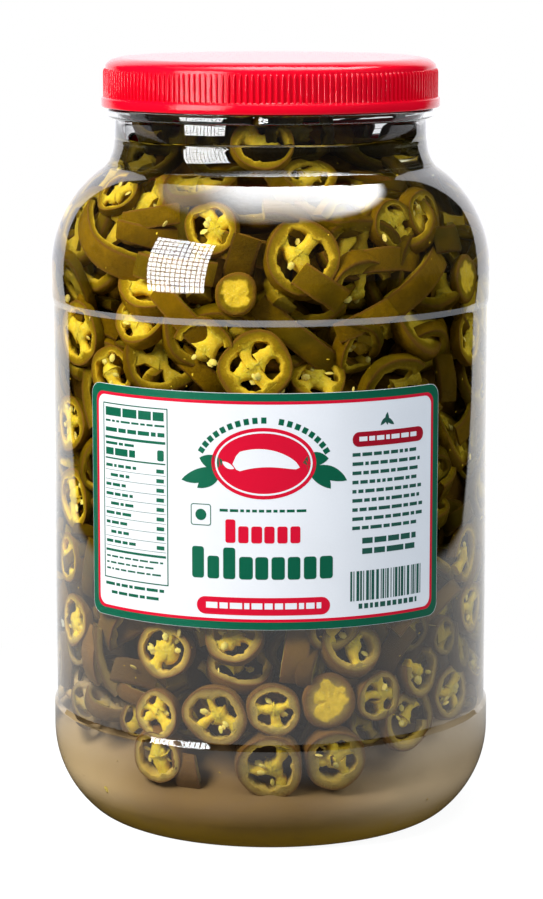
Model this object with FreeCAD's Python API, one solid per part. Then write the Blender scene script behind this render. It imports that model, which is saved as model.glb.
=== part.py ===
"""Wide-mouth jar of sliced pickled peppers.

A blow-moulded clear jar with a ribbed screw lid, a wrapped front label, brine
to the neck and a heap of slices that stands out of the brine under the lid.

Millimetres, +Z up. The origin is the centre of the foot, on the surface that
the jar stands on. The middle of the front faces -Y. Each piece is written to
parts/NODE.step.
"""
import FreeCAD, Part
import math
import os

from FreeCAD import Placement, Rotation, Vector

# Jar body, from the foot up. Radii are those of the outside.
BODY_RADIUS = 75.4             # the label panel, set back between the two bands
WALL = 0.8                     # thickness of the blown wall
LOWER_BAND_STEP = 1.0          # how far the band above the heel stands out from the panel
UPPER_BAND_STEP = 0.6          # and the band below the shoulder
PUSH_UP = 9.0                  # height of the hollow dome under the base
FOOT_INNER_ARC = 5.0           # arc from the standing ring into the push-up
FOOT_ARC = 11.4                # small arc that turns on to the standing ring
HEEL_ARC = 36.0                # large arc from the small one up to the lower band
HEEL_TURN = 48.0               # degrees turned by the large arc
LOWER_BAND_HEIGHT = 7.7        # straight height of the lower band
LOWER_RAMP = 3.4               # height of the ramp in to the panel
PANEL_HEIGHT = 138.2
UPPER_RAMP = 2.6               # height of the ramp out to the upper band
UPPER_BAND_HEIGHT = 9.2        # straight height of the upper band
SHOULDER_ARC = 42.2            # the shoulder's dome
SHOULDER_RISE = 51.7           # from the start of the shoulder up to the bead
NECK_FILLET = 14.5             # hollow curve from the shoulder to the neck
NECK_DRAFT = 6.2               # degrees that the neck leans in as it rises

# Finish: the bead under the lid and the plain ring that the lid covers
FINISH_RADIUS = 53.5
FINISH_WALL = 1.8
FINISH_HEIGHT = 15.5           # from the top of the bead to the mouth
NECK_SETBACK = 0.2             # the top of the neck lies inside the finish's radius
BEAD_STAND = 2.5               # how far the bead stands out from the finish
BEAD_HEIGHT = 3.1
BEAD_BEVEL = 0.7
BEAD_NOTCH = 5.2               # width of the break in the bead
BEAD_NOTCH_TURN = -4.7         # its place, degrees round from the front

# Lid
THREAD_ROOM = 1.25             # height of the thread between jar and lid
LID_CLEARANCE = 0.35           # running gap outside the thread
LID_WALL = 1.6
LID_PLATE = 1.8                # thickness of the lid's top
LID_SKIRT = 15.0               # from the jar's mouth down to the lid's lower edge
LID_EDGE_WIDTH = 6.5           # the rounded top edge, measured along the top
LID_EDGE_DROP = 3.4            # and measured down the side
LIP_HEIGHT = 3.8               # plain lip below the ribs
LIP_OVERHANG = 1.4             # how far the lip stands out from the lid's wall
LIP_BEVEL = 0.6
RIB_COUNT = 180
RIB_HEIGHT = 0.7               # how far a rib stands out from the lid's wall
RIB_FILL = 0.55                # share of the pitch that a rib's foot takes
RIB_CREST = 0.45               # a rib's crest as a share of its foot
RIB_TOP_GAP = 0.3              # plain wall between the rounded edge and the ribs
RIB_TOP_SLOPE = 0.8            # length of the slope at a rib's upper end

# Label
LABEL_WIDTH = 130.7            # along the curve
LABEL_HEIGHT = 78.4
LABEL_BELOW_PANEL = 21.4       # from the panel's upper end down to the label
LABEL_TURN = -2.2              # its middle, degrees round from the front
LABEL_CORNER = 4.0
LABEL_THICKNESS = 0.25
GLUE_LINE = 0.05

# Contents
BRINE_BELOW_BEAD = 7.2
HEAP_CLEARANCE = 0.4           # between the heap and the neck
HEAP_BED = 3.0                 # packed height of the heap between its slices
SLICE_RADIUS = 11.5
SLICE_THICKNESS = 6.0
SLICE_HOLE = 6.0               # radius of the hole left by the core
SLICE_WEB = 3.0                # thickness of the rib of flesh across the hole
RING_SLICES = 7                # slices that lean round the inside of the neck
RING_LEAN = 62.0               # degrees that they lean from lying flat
RING_RISE = 4.0                # height of their middles above the brine
RING_START = 18.0              # degrees round from the front to the first of them
RING_SPIN = 40.0               # degrees that each is spun on from the one before
INNER_SLICES = 3               # slices that lie inside the ring
INNER_REACH = 17.0             # their distance from the axis
INNER_LEAN = 24.0
INNER_RISE = 6.0
INNER_START = 72.0
INNER_SPIN = 65.0

UP = Vector(0, 0, 1)
AXIS = Vector(0, 0, 0)

# Radii and heights that follow from the sizes above
LOWER_BAND_RADIUS = BODY_RADIUS + LOWER_BAND_STEP
UPPER_BAND_RADIUS = BODY_RADIUS + UPPER_BAND_STEP
HEEL_TOP = FOOT_ARC + (HEEL_ARC - FOOT_ARC) * math.sin(math.radians(HEEL_TURN))
LOWER_BAND_TOP = HEEL_TOP + LOWER_BAND_HEIGHT
PANEL_BOTTOM = LOWER_BAND_TOP + LOWER_RAMP
PANEL_TOP = PANEL_BOTTOM + PANEL_HEIGHT
UPPER_BAND_BOTTOM = PANEL_TOP + UPPER_RAMP
SHOULDER_START = UPPER_BAND_BOTTOM + UPPER_BAND_HEIGHT
NECK_RADIUS = FINISH_RADIUS - NECK_SETBACK
BEAD_RADIUS = FINISH_RADIUS + BEAD_STAND
BEAD_BOTTOM = SHOULDER_START + SHOULDER_RISE
BEAD_TOP = BEAD_BOTTOM + BEAD_HEIGHT
MOUTH_TOP = BEAD_TOP + FINISH_HEIGHT
BRINE_LEVEL = BEAD_BOTTOM - BRINE_BELOW_BEAD
LABEL_TOP = PANEL_TOP - LABEL_BELOW_PANEL
LABEL_BASE = LABEL_TOP - LABEL_HEIGHT
LID_BORE = FINISH_RADIUS + THREAD_ROOM + LID_CLEARANCE
LID_RADIUS = LID_BORE + LID_WALL
LID_TOP = MOUTH_TOP + LID_PLATE
LID_BOTTOM = MOUTH_TOP - LID_SKIRT
LIP_TOP = LID_BOTTOM + LIP_HEIGHT
RIB_BOTTOM = LIP_TOP - LIP_OVERHANG / 2
RIB_TOP = LID_TOP - LID_EDGE_DROP - RIB_TOP_GAP


def point(radius, height):
    """Point in the section plane, at a distance from the jar's axis."""
    return Vector(radius, 0, height)


def round_point(centre, radius, angle):
    """Point round a centre, at an angle in degrees from straight outwards."""
    turn = math.radians(angle)
    return centre + Vector(radius * math.cos(turn), 0, radius * math.sin(turn))


def arc(centre, radius, start, end):
    """Three points of an arc: its start, middle and end."""
    return [round_point(centre, radius, angle) for angle in (start, (start + end) / 2, end)]


def section(runs):
    """Face bounded by points and arcs, in order, with straight edges between them."""
    edges = []
    last = runs[-1][-1]
    for run in runs:
        if last.distanceToPoint(run[0]) > 1e-6:
            edges.append(Part.makeLine(last, run[0]))
        if len(run) == 3:
            edges.append(Part.Arc(*run).toShape())
        last = run[-1]
    return Part.Face(Part.Wire(edges))


def revolved(runs, angle=360.0):
    """Solid of revolution of a section about the jar's axis."""
    return section(runs).revolve(AXIS, UP, angle)


def turned(shape, degrees):
    """Copy of a shape turned about the jar's axis, from the front towards +X."""
    copy = shape.copy()
    copy.rotate(AXIS, UP, degrees)
    return copy


def heel_centres():
    """Centres of the large heel arc, the foot arc and the inner foot arc."""
    heel = point(LOWER_BAND_RADIUS - HEEL_ARC, HEEL_TOP)
    foot = round_point(heel, HEEL_ARC - FOOT_ARC, -HEEL_TURN)
    inner = point(foot.x, FOOT_INNER_ARC)
    return heel, foot, inner


def push_up_dome(inner_foot):
    """Centre and radius of the dome that touches the inner foot arc and the push-up's height."""
    rise = FOOT_INNER_ARC - PUSH_UP
    reach = inner_foot.x ** 2 + rise ** 2 - FOOT_INNER_ARC ** 2
    radius = reach / (2 * (FOOT_INNER_ARC - rise))
    return point(0, PUSH_UP - radius), radius


def neck_geometry():
    """Shoulder centre, fillet centre, and the angle at which the two arcs meet."""
    lean = math.radians(NECK_DRAFT)
    along = Vector(-math.sin(lean), 0, math.cos(lean))
    outwards = Vector(math.cos(lean), 0, math.sin(lean))
    shoulder = point(UPPER_BAND_RADIUS - SHOULDER_ARC, SHOULDER_START)
    start = point(NECK_RADIUS, BEAD_BOTTOM) + outwards * NECK_FILLET
    offset = start - shoulder
    half = offset.dot(along)
    reach = SHOULDER_ARC + NECK_FILLET
    fillet = start + along * (math.sqrt(half ** 2 - offset.dot(offset) + reach ** 2) - half)
    meet = math.degrees(math.atan2(fillet.z - shoulder.z, fillet.x - shoulder.x))
    return shoulder, fillet, meet


def wall_line(inset):
    """The body's outline from the middle of the base up to the bead.

    The inset is 0 for the outside of the wall and the wall's thickness for its
    inside, so that both sides come from the same sizes.
    """
    heel, foot, inner_foot = heel_centres()
    dome, dome_radius = push_up_dome(inner_foot)
    dome_angle = math.degrees(math.atan2(inner_foot.z - dome.z, inner_foot.x))
    shoulder, fillet, meet = neck_geometry()
    lean = math.radians(NECK_DRAFT)
    neck = point(NECK_RADIUS - inset * math.cos(lean), BEAD_BOTTOM - inset * math.sin(lean))
    return [
        arc(dome, dome_radius + inset, 90, dome_angle),
        arc(inner_foot, FOOT_INNER_ARC - inset, dome_angle - 180, -90),
        arc(foot, FOOT_ARC - inset, -90, -HEEL_TURN),
        arc(heel, HEEL_ARC - inset, -HEEL_TURN, 0),
        [point(LOWER_BAND_RADIUS - inset, LOWER_BAND_TOP)],
        [point(BODY_RADIUS - inset, PANEL_BOTTOM)],
        [point(BODY_RADIUS - inset, PANEL_TOP)],
        [point(UPPER_BAND_RADIUS - inset, UPPER_BAND_BOTTOM)],
        arc(shoulder, SHOULDER_ARC - inset, 0, meet),
        arc(fillet, NECK_FILLET + inset, meet + 180, NECK_DRAFT + 180),
        [neck],
    ]


def jar():
    """Blown jar: one wall all round, a thicker finish, and a notched bead."""
    outside = wall_line(0)
    inside = [list(reversed(run)) for run in reversed(wall_line(WALL))]
    finish = [
        [point(FINISH_RADIUS, BEAD_BOTTOM)],
        [point(FINISH_RADIUS, MOUTH_TOP)],
        [point(FINISH_RADIUS - FINISH_WALL, MOUTH_TOP)],
        [point(FINISH_RADIUS - FINISH_WALL, BEAD_TOP)],
    ]
    return revolved(outside + finish + inside).fuse(bead()).removeSplitter()


def bead():
    """Carrying bead under the lid, broken by one notch."""
    root = NECK_RADIUS - WALL / 2
    ring = revolved([
        [point(root, BEAD_BOTTOM)],
        [point(BEAD_RADIUS - BEAD_BEVEL, BEAD_BOTTOM)],
        [point(BEAD_RADIUS, BEAD_BOTTOM + BEAD_BEVEL)],
        [point(BEAD_RADIUS, BEAD_TOP - BEAD_BEVEL)],
        [point(BEAD_RADIUS - BEAD_BEVEL, BEAD_TOP)],
        [point(root, BEAD_TOP)],
    ])
    notch = Part.makeBox(
        BEAD_NOTCH, BEAD_RADIUS, BEAD_HEIGHT,
        Vector(-BEAD_NOTCH / 2, -FINISH_RADIUS - BEAD_RADIUS, BEAD_BOTTOM),
    )
    return ring.cut(turned(notch, BEAD_NOTCH_TURN))


def rounded_edge():
    """Quarter ellipse that turns the lid's top down into its side."""
    flat_radius = LID_RADIUS - LID_EDGE_WIDTH
    centre = point(flat_radius, LID_TOP - LID_EDGE_DROP)
    ellipse = Part.Ellipse(centre + Vector(LID_EDGE_WIDTH, 0, 0), centre + UP * LID_EDGE_DROP, centre)
    return Part.ArcOfEllipse(ellipse, 0, math.pi / 2).toShape()


def lid_shell():
    """The lid without its ribs: a plate, a rounded edge, a wall and a lip."""
    lip_radius = LID_RADIUS + LIP_OVERHANG
    corners = [
        point(LID_RADIUS, LID_TOP - LID_EDGE_DROP),
        point(LID_RADIUS, LIP_TOP),
        point(lip_radius, RIB_BOTTOM),
        point(lip_radius, LID_BOTTOM + LIP_BEVEL),
        point(lip_radius - LIP_BEVEL, LID_BOTTOM),
        point(LID_BORE, LID_BOTTOM),
        point(LID_BORE, MOUTH_TOP),
        point(0, MOUTH_TOP),
        point(0, LID_TOP),
        point(LID_RADIUS - LID_EDGE_WIDTH, LID_TOP),
    ]
    outline = Part.Wire([rounded_edge()] + Part.makePolygon(corners).Edges)
    return Part.Face(outline).revolve(AXIS, UP, 360)


def rib_band():
    """Ribs round the lid's wall, sloped at their upper ends and run out into the lip."""
    pitch = 2 * math.pi / RIB_COUNT
    foot = pitch * RIB_FILL / 2
    crest = foot * RIB_CREST
    buried = LID_RADIUS - LID_WALL / 2
    outer = LID_RADIUS + RIB_HEIGHT
    clear = LID_RADIUS + 2 * RIB_HEIGHT
    corners = ((LID_RADIUS, -foot), (outer, -crest), (outer, crest), (LID_RADIUS, foot))
    outline = []
    for rib in range(RIB_COUNT):
        for radius, turn in corners:
            angle = rib * pitch + turn
            outline.append(Vector(radius * math.sin(angle), -radius * math.cos(angle), RIB_BOTTOM))
    outline.append(outline[0])
    toothed = Part.Face(Part.makePolygon(outline)).extrude(UP * (RIB_TOP - RIB_BOTTOM))
    envelope = revolved([
        [point(buried, RIB_BOTTOM)],
        [point(clear, RIB_BOTTOM)],
        [point(clear, RIB_TOP - 2 * RIB_TOP_SLOPE)],
        [point(LID_RADIUS, RIB_TOP)],
        [point(buried, RIB_TOP)],
    ])
    return toothed.common(envelope)


def lid():
    """Moulded screw lid with its ribs."""
    return lid_shell().fuse(rib_band()).removeSplitter()


def label():
    """Paper label glued to the panel, a thin curved sheet with rounded corners."""
    inner = BODY_RADIUS + GLUE_LINE
    outer = inner + LABEL_THICKNESS
    span = math.degrees(LABEL_WIDTH / outer)
    sheet = revolved([
        [point(inner, LABEL_BASE)],
        [point(outer, LABEL_BASE)],
        [point(outer, LABEL_TOP)],
        [point(inner, LABEL_TOP)],
    ], span)
    corners = [edge for edge in sheet.Edges if edge.Length < 2 * LABEL_THICKNESS]
    return turned(sheet.makeFillet(LABEL_CORNER, corners), LABEL_TURN - span / 2 - 90)


def brine():
    """Brine that fills the jar to its level, touching the wall."""
    inside = wall_line(WALL)
    lean = math.radians(NECK_DRAFT)
    neck = inside[-1][0]
    surface_radius = neck.x + (neck.z - BRINE_LEVEL) * math.tan(lean)
    return revolved(inside[:-1] + [[point(surface_radius, BRINE_LEVEL)], [point(0, BRINE_LEVEL)]])


def slice_ring():
    """One slice of pepper lying flat at the origin: a ring of flesh with a rib across it."""
    low = Vector(0, 0, -SLICE_THICKNESS / 2)
    disc = Part.makeCylinder(SLICE_RADIUS, SLICE_THICKNESS, low)
    hole = Part.makeCylinder(SLICE_HOLE, SLICE_THICKNESS, low)
    web = Part.makeBox(2 * SLICE_HOLE, SLICE_WEB, SLICE_THICKNESS, low - Vector(SLICE_HOLE, SLICE_WEB / 2, 0))
    return disc.cut(hole.cut(web))


def placed_slice(turn, reach, height, lean, spin):
    """A slice leaned back from lying flat, at a distance and a turn round the axis."""
    shape = slice_ring()
    shape.Placement = (
        Placement(AXIS, Rotation(UP, turn))
        .multiply(Placement(Vector(0, -reach, height), Rotation(Vector(1, 0, 0), lean)))
        .multiply(Placement(AXIS, Rotation(UP, spin)))
    )
    return shape


def heap():
    """Slices that stand out of the brine: a ring that leans on the neck and a few inside it."""
    neck_bore = NECK_RADIUS - WALL - HEAP_CLEARANCE
    reach = neck_bore - SLICE_THICKNESS - SLICE_RADIUS * math.cos(math.radians(RING_LEAN)) / 2
    pieces = []
    for place in range(RING_SLICES):
        turn = RING_START + place * 360.0 / RING_SLICES
        pieces.append(placed_slice(turn, reach, BRINE_LEVEL + RING_RISE, RING_LEAN, RING_SPIN * place))
    for place in range(INNER_SLICES):
        turn = INNER_START + place * 360.0 / INNER_SLICES
        height = BRINE_LEVEL + INNER_RISE
        pieces.append(placed_slice(turn, INNER_REACH, height, INNER_LEAN, INNER_SPIN * place))
    room = Part.makeCylinder(neck_bore, MOUTH_TOP - BRINE_LEVEL, Vector(0, 0, BRINE_LEVEL))
    bed = Part.makeCylinder(neck_bore, HEAP_BED, Vector(0, 0, BRINE_LEVEL))
    return bed.fuse(pieces).common(room).removeSplitter()


NODES = {
    "jar": jar,
    "lid": lid,
    "label": label,
    "brine": brine,
    "slices_top": heap,
}


def main():
    """Build every node and write it to its own file."""
    os.makedirs("parts", exist_ok=True)
    for name, build in NODES.items():
        shape = build()
        solids = shape.Solids
        if len(solids) != 1 or not shape.isValid():
            raise RuntimeError(f"{name} has {len(solids)} solids, valid: {shape.isValid()}")
        solids[0].exportStep(f"parts/{name}.step")
        print(name, round(solids[0].Volume / 1000.0, 2), "cm3")


main()
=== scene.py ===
"""Looks of a wide-mouth jar of sliced pickled peppers.

The file is laid out as an add-on. The property groups hold the sizes and
colours, each operator builds one piece or one group of like pieces, and main()
runs the operators in order. Everything is in metres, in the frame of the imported
model: +Z up, the middle of the jar's front facing -Y.
"""

from math import atan2, ceil, copysign, cos, dist, exp, hypot, pi, radians, remainder, sin, sqrt, tanh, tau

import bmesh
import bpy
import numpy as np
from bpy.props import FloatProperty, FloatVectorProperty, IntProperty, PointerProperty
from mathutils import Matrix, Vector, kdtree, noise


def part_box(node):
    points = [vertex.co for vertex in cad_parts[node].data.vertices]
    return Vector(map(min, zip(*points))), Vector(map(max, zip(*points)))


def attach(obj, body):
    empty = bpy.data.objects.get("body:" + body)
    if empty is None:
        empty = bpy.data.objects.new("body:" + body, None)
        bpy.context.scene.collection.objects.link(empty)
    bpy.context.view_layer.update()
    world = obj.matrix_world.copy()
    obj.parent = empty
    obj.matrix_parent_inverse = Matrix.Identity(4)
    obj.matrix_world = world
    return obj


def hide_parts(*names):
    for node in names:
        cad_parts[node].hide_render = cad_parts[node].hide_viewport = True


bl_info = {
    "name": "Pepper Jar",
    "version": (1, 0, 0),
    "blender": (4, 5, 0),
    "location": "View3D > Sidebar > Pepper Jar",
    "description": "Builds the looks of a wide-mouth jar of sliced pickled peppers",
    "category": "Add Mesh",
}

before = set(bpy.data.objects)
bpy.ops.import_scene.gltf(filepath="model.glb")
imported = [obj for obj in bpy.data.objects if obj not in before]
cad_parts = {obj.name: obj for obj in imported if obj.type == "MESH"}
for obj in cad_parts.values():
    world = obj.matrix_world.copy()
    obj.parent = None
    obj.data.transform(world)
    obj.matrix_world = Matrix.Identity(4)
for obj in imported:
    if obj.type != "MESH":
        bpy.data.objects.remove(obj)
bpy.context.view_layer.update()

MM = 0.001
JAR_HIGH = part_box("jar")[1]
LID_LOW, LID_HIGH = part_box("lid")
LABEL_LOW, LABEL_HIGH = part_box("label")
BRINE_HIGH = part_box("brine")[1]
BODY = "root"


# ---- Sizes and colours ----

def length(name, description, default):
    """A length property, its default given in millimetres."""
    return FloatProperty(name=name, description=description, default=default * MM, unit="LENGTH", precision=4)


def angle(name, description, default):
    """An angle property, its default given in degrees."""
    return FloatProperty(name=name, description=description, default=radians(default), subtype="ANGLE")


def plain_number(name, description, default):
    """A property with no unit, or with the one that its description gives."""
    return FloatProperty(name=name, description=description, default=default)


def whole_number(name, description, default):
    """A property that counts things."""
    return IntProperty(name=name, description=description, default=default, min=1)


def colour(name, description, default):
    """A linear colour property."""
    return FloatVectorProperty(name=name, description=description, default=default, subtype="COLOR", size=3,
                               min=0.0, max=1.0)


class JarShape(bpy.types.PropertyGroup):
    """Sizes of the blown jar; radii are those of the outside."""

    band: FloatProperty(name="Lower band radius", description="Widest radius of the body",
                        default=min(JAR_HIGH.x, JAR_HIGH.y), unit="LENGTH", precision=4)
    wall: length("Wall", "Thickness of the blown wall", 0.8)
    panel_step: length("Panel step", "How far the label panel lies inside the lower band", 1.0)
    upper_step: length("Upper step", "How far the upper band stands out from the panel", 0.6)
    push_up: length("Push-up", "Height of the dome under the base", 9.0)
    foot_inner: length("Inner foot arc", "Arc from the standing ring into the dome", 5.0)
    foot: length("Foot arc", "Small arc on to the standing ring", 11.4)
    heel: length("Heel arc", "Large arc up to the lower band", 36.0)
    heel_turn: angle("Heel turn", "Angle turned by the large heel arc", 48.0)
    lower_band: length("Lower band height", "Straight height of the lower band", 8.6)
    lower_ramp: length("Lower ramp", "Height of the ramp in to the panel", 1.7)
    panel: length("Panel height", "Height of the label panel", 139.0)
    upper_ramp: length("Upper ramp", "Height of the ramp out to the upper band", 2.6)
    upper_band: length("Upper band height", "Straight height of the upper band", 9.2)
    shoulder: length("Shoulder arc", "Radius of the shoulder's dome", 42.2)
    shoulder_rise: length("Shoulder rise", "From the start of the shoulder up to the bead", 51.7)
    fillet: length("Neck fillet", "Hollow curve from the shoulder to the neck", 14.5)
    draft: angle("Neck draft", "How far the neck leans in", 6.2)
    finish: length("Finish radius", "Radius of the ring inside the lid", 53.5)
    finish_wall: length("Finish wall", "Thickness of that ring", 1.8)
    neck_setback: length("Neck setback", "The top of the neck lies inside the finish by this", 0.2)
    bead_stand: length("Bead stand", "How far the bead stands out from the finish", 2.5)
    bead_height: length("Bead height", "Height of the bead under the lid", 3.1)
    bead_round: length("Bead rounding", "Rounding of the bead's edges", 0.9)
    notch: length("Bead notch", "Width of the break in the bead", 5.2)
    notch_turn: angle("Notch turn", "Its place round from the front", -4.7)
    steps: whole_number("Steps round", "Faces round the jar", 224)


class BrineShape(bpy.types.PropertyGroup):
    """Sizes of the liquid."""

    into_wall: length("Into the wall", "How far the liquid reaches into the wall", 0.25)
    climb: length("Climb", "How far the liquid climbs the wall at its edge", 1.1)
    climb_width: length("Climb width", "Width of the curved edge of the surface", 2.2)
    ripple: length("Ripple", "Unevenness of the waterline", 0.5)
    steps: whole_number("Steps round", "Faces round the liquid", 192)


class SliceShape(bpy.types.PropertyGroup):
    """Sizes of the pepper slices and of the mass that they hide."""

    radius: length("Slice radius", "Usual radius of a slice", 11.6)
    thickness: length("Slice thickness", "Usual thickness of a slice", 5.6)
    wall: length("Flesh", "Thickness of a slice's ring of flesh", 3.5)
    web: length("Web", "Width of the webs across a slice", 3.2)
    core: length("Core radius", "Radius of the dark mass behind the slices", 47.0)
    seed_length: length("Seed length", "Length of a seed", 3.4)
    packed: whole_number("Packed slices", "Slices packed behind the placed ones", 370)
    seeds: whole_number("Seeds", "Loose seeds near the wall", 80)
    crumbs: whole_number("Crumbs", "Bits of flesh afloat near the wall", 420)
    rounds: whole_number("Packing rounds", "Rounds that push the slices apart", 70)


class LidShape(bpy.types.PropertyGroup):
    """Sizes of the screw lid."""

    wall_radius: length("Wall radius", "Radius of the side between the ribs", 56.7)
    bore: length("Bore", "Inner radius of the lid's side", 55.1)
    plate: length("Plate", "Thickness of the lid's top", 1.8)
    edge_width: length("Edge width", "Rounded top edge, along the top", 6.5)
    edge_drop: length("Edge drop", "Rounded top edge, down the side", 3.4)
    lip_height: length("Lip height", "Plain lip below the ribs", 3.8)
    lip_overhang: length("Lip overhang", "How far the lip stands out from the side", 1.4)
    lip_bevel: length("Lip bevel", "Bevel at the lip's lower edge", 0.6)
    rib_height: length("Rib height", "How far a rib stands out", 0.7)
    rib_width: length("Rib width", "Width of a rib's foot", 0.86)
    rib_gap: length("Rib gap", "Plain side between the rounded edge and the ribs", 0.3)
    ribs: whole_number("Ribs", "Ribs round the lid", 180)


class LabelShape(bpy.types.PropertyGroup):
    """Sizes of the paper label and its print."""

    width: length("Width", "Width along the curve", 130.7)
    thickness: length("Thickness", "Thickness of the paper", 0.25)
    corner: length("Corner", "Radius of the corners", 4.0)
    turn: angle("Turn", "The label's middle, round from the front", -2.2)
    border: length("Border", "Width of the coloured border", 2.6)
    keyline: length("Keyline", "Width of the line inside the border", 1.0)


class StageLook(bpy.types.PropertyGroup):
    """Camera, lamps and surroundings."""

    camera_distance: length("Camera distance", "From the jar's axis", 1024.0)
    camera_height: length("Camera height", "Above the standing surface", 300.7)
    camera_side: length("Camera side", "To the right of the axis", 0.3)
    camera_pitch: angle("Camera pitch", "How far the camera looks down", 9.66)
    lens: plain_number("Lens", "Focal length in millimetres", 118.8)
    key: plain_number("Key power", "Power of the lamp at the front left, in watts", 20.0)
    top: plain_number("Top power", "Power of the lamp overhead, in watts", 7.0)
    fill: plain_number("Fill power", "Power of the lamp at the right, in watts", 8.0)
    ambient: plain_number("Ambient", "Strength of the light from all round", 0.42)
    backdrop: plain_number("Backdrop", "Brightness of the backdrop in reflections", 1.5)
    floor_glow: plain_number("Floor", "Brightness of the floor in reflections", 1.0)
    card: plain_number("Key card", "Brightness of the key lamp's front in reflections", 22.0)
    overhead: plain_number("Overhead card", "Brightness of the top lamp's front in reflections", 18.5)


class PepperJar(bpy.types.PropertyGroup):
    """Everything that a user would change."""

    jar: PointerProperty(type=JarShape)
    brine: PointerProperty(type=BrineShape)
    slices: PointerProperty(type=SliceShape)
    lid: PointerProperty(type=LidShape)
    label: PointerProperty(type=LabelShape)
    stage: PointerProperty(type=StageLook)
    flesh: colour("Flesh", "Cut flesh of a slice", (0.32, 0.195, 0.008))
    heart: colour("Heart", "Pale webs and core of a slice", (0.86, 0.595, 0.05))
    skin: colour("Skin", "Skin of a slice", (0.175, 0.092, 0.002))
    rim: colour("Rim", "Brown flesh just under the skin", (0.185, 0.088, 0.014))
    # Painted shade: this dark colour stands for the packed slices deep in the jar, where shade falls.
    dark: colour("Dark", "The mass seen through the gaps", (0.062, 0.028, 0.004))
    sediment: colour("Sediment", "Fine matter settled at the base", (0.195, 0.122, 0.072))
    # Painted light: settled matter painted paler near the left and right sides.
    sediment_pale: colour("Pale sediment", "Settled matter near the left and right sides", (0.68, 0.51, 0.36))
    sediment_deep: colour("Deep sediment", "Settled matter low at the foot", (0.40, 0.235, 0.010))
    seed: colour("Seed", "Loose seeds", (0.90, 0.70, 0.20))
    lid_red: colour("Lid", "Moulded plastic of the lid", (0.70, 0.0015, 0.016))
    paper: colour("Paper", "Label paper", (0.71, 0.735, 0.78))
    ink_green: colour("Green ink", "Green print", (0.0005, 0.085, 0.044))
    ink_red: colour("Red ink", "Red print", (0.56, 0.003, 0.026))
    ink_dark: colour("Dark ink", "Fine print and bars", (0.012, 0.075, 0.055))


# ---- Shaders ----

class Wire:
    """An output of a shader node, with arithmetic."""

    def __init__(self, shader, socket):
        self.shader = shader
        self.socket = socket

    def maths(self, operation, *values):
        """Adds a Math node."""
        return self.shader.node("Math", {"operation": operation}, dict(enumerate(values)))

    def __add__(self, other):
        return self.maths("ADD", self, other)

    def __radd__(self, other):
        return self.maths("ADD", other, self)

    def __sub__(self, other):
        return self.maths("SUBTRACT", self, other)

    def __rsub__(self, other):
        return self.maths("SUBTRACT", other, self)

    def __mul__(self, other):
        return self.maths("MULTIPLY", self, other)

    def __rmul__(self, other):
        return self.maths("MULTIPLY", other, self)

    def __truediv__(self, other):
        return self.maths("DIVIDE", self, other)

    def __rtruediv__(self, other):
        return self.maths("DIVIDE", other, self)

    def __pow__(self, other):
        return self.maths("POWER", self, other)

    def between(self, low, high):
        """The value held between two limits."""
        return self.shader.node("Clamp", sockets={0: self, 1: low, 2: high})

    def ramp(self, low, high):
        """0 at low, 1 at high, and smooth between them."""
        settings = {"interpolation_type": "SMOOTHSTEP"}
        return self.shader.node("MapRange", settings, {0: self, 1: low, 2: high})


class Shader:
    """The nodes of one material or of the world."""

    def __init__(self, owner):
        self.owner = owner
        owner.use_nodes = True
        self.tree = owner.node_tree
        self.tree.nodes.clear()

    def node(self, kind, settings=None, sockets=None, out=0):
        """Adds a node, sets its settings, feeds its sockets and gives one output."""
        node = self.tree.nodes.new("ShaderNode" + kind)
        for name, value in (settings or {}).items():
            setattr(node, name, value)
        for name, value in (sockets or {}).items():
            self.feed(node.inputs[name], value)
        return Wire(self, node.outputs[out])

    def feed(self, socket, value):
        """Links a wire to a socket, or sets the socket's own value."""
        if isinstance(value, Wire):
            self.tree.links.new(value.socket, socket)
        elif socket.type == "RGBA" and len(value) == 3:
            socket.default_value = (*value, 1.0)
        else:
            socket.default_value = value

    def finish(self, surface):
        """Joins a surface to the output and gives the owner back."""
        kind = "World" if isinstance(self.owner, bpy.types.World) else "Material"
        output = self.tree.nodes.new("ShaderNodeOutput" + kind)
        self.feed(output.inputs["Surface"], surface)
        return self.owner

    def mix(self, factor, first, second, blend="MIX"):
        """Mixes two colours."""
        settings = {"data_type": "RGBA", "blend_type": blend}
        return self.node("Mix", settings, {0: factor, 6: first, 7: second}, 2)

    def place(self):
        """Object coordinates."""
        return self.node("TexCoord", out="Object")

    def parts(self, vector):
        """The three parts of a vector."""
        split = self.node("SeparateXYZ", sockets={0: vector}).socket.node
        return [Wire(self, output) for output in split.outputs]

    def noise(self, scale, detail=3.0, roughness=0.5, distortion=0.0):
        """Fractal noise at a scale given per metre."""
        sockets = {"Vector": self.place(), "Scale": scale, "Detail": detail,
                   "Roughness": roughness, "Distortion": distortion}
        return self.node("TexNoise", sockets=sockets)

    def bump(self, height, distance, strength=1.0):
        """A normal from a height, its full depth given in metres."""
        return self.node("Bump", sockets={"Height": height, "Distance": distance, "Strength": strength})

    def principled(self, **sockets):
        """A principled surface; an underscore in a name stands for a space."""
        spaced = {name.replace("_", " "): value for name, value in sockets.items()}
        return self.node("BsdfPrincipled", sockets=spaced)

    def path(self, kind):
        """Whether the ray is of a kind: camera, shadow, diffuse, glossy or transmission."""
        return self.node("LightPath", out=f"Is {kind} Ray")

    def choose(self, factor, first, second):
        """Mixes two surfaces."""
        return self.node("MixShader", sockets={0: factor, 1: first, 2: second})

    def glow(self, colour, strength):
        """A surface that gives out light."""
        return self.node("Emission", sockets={"Color": colour, "Strength": strength})


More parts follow.
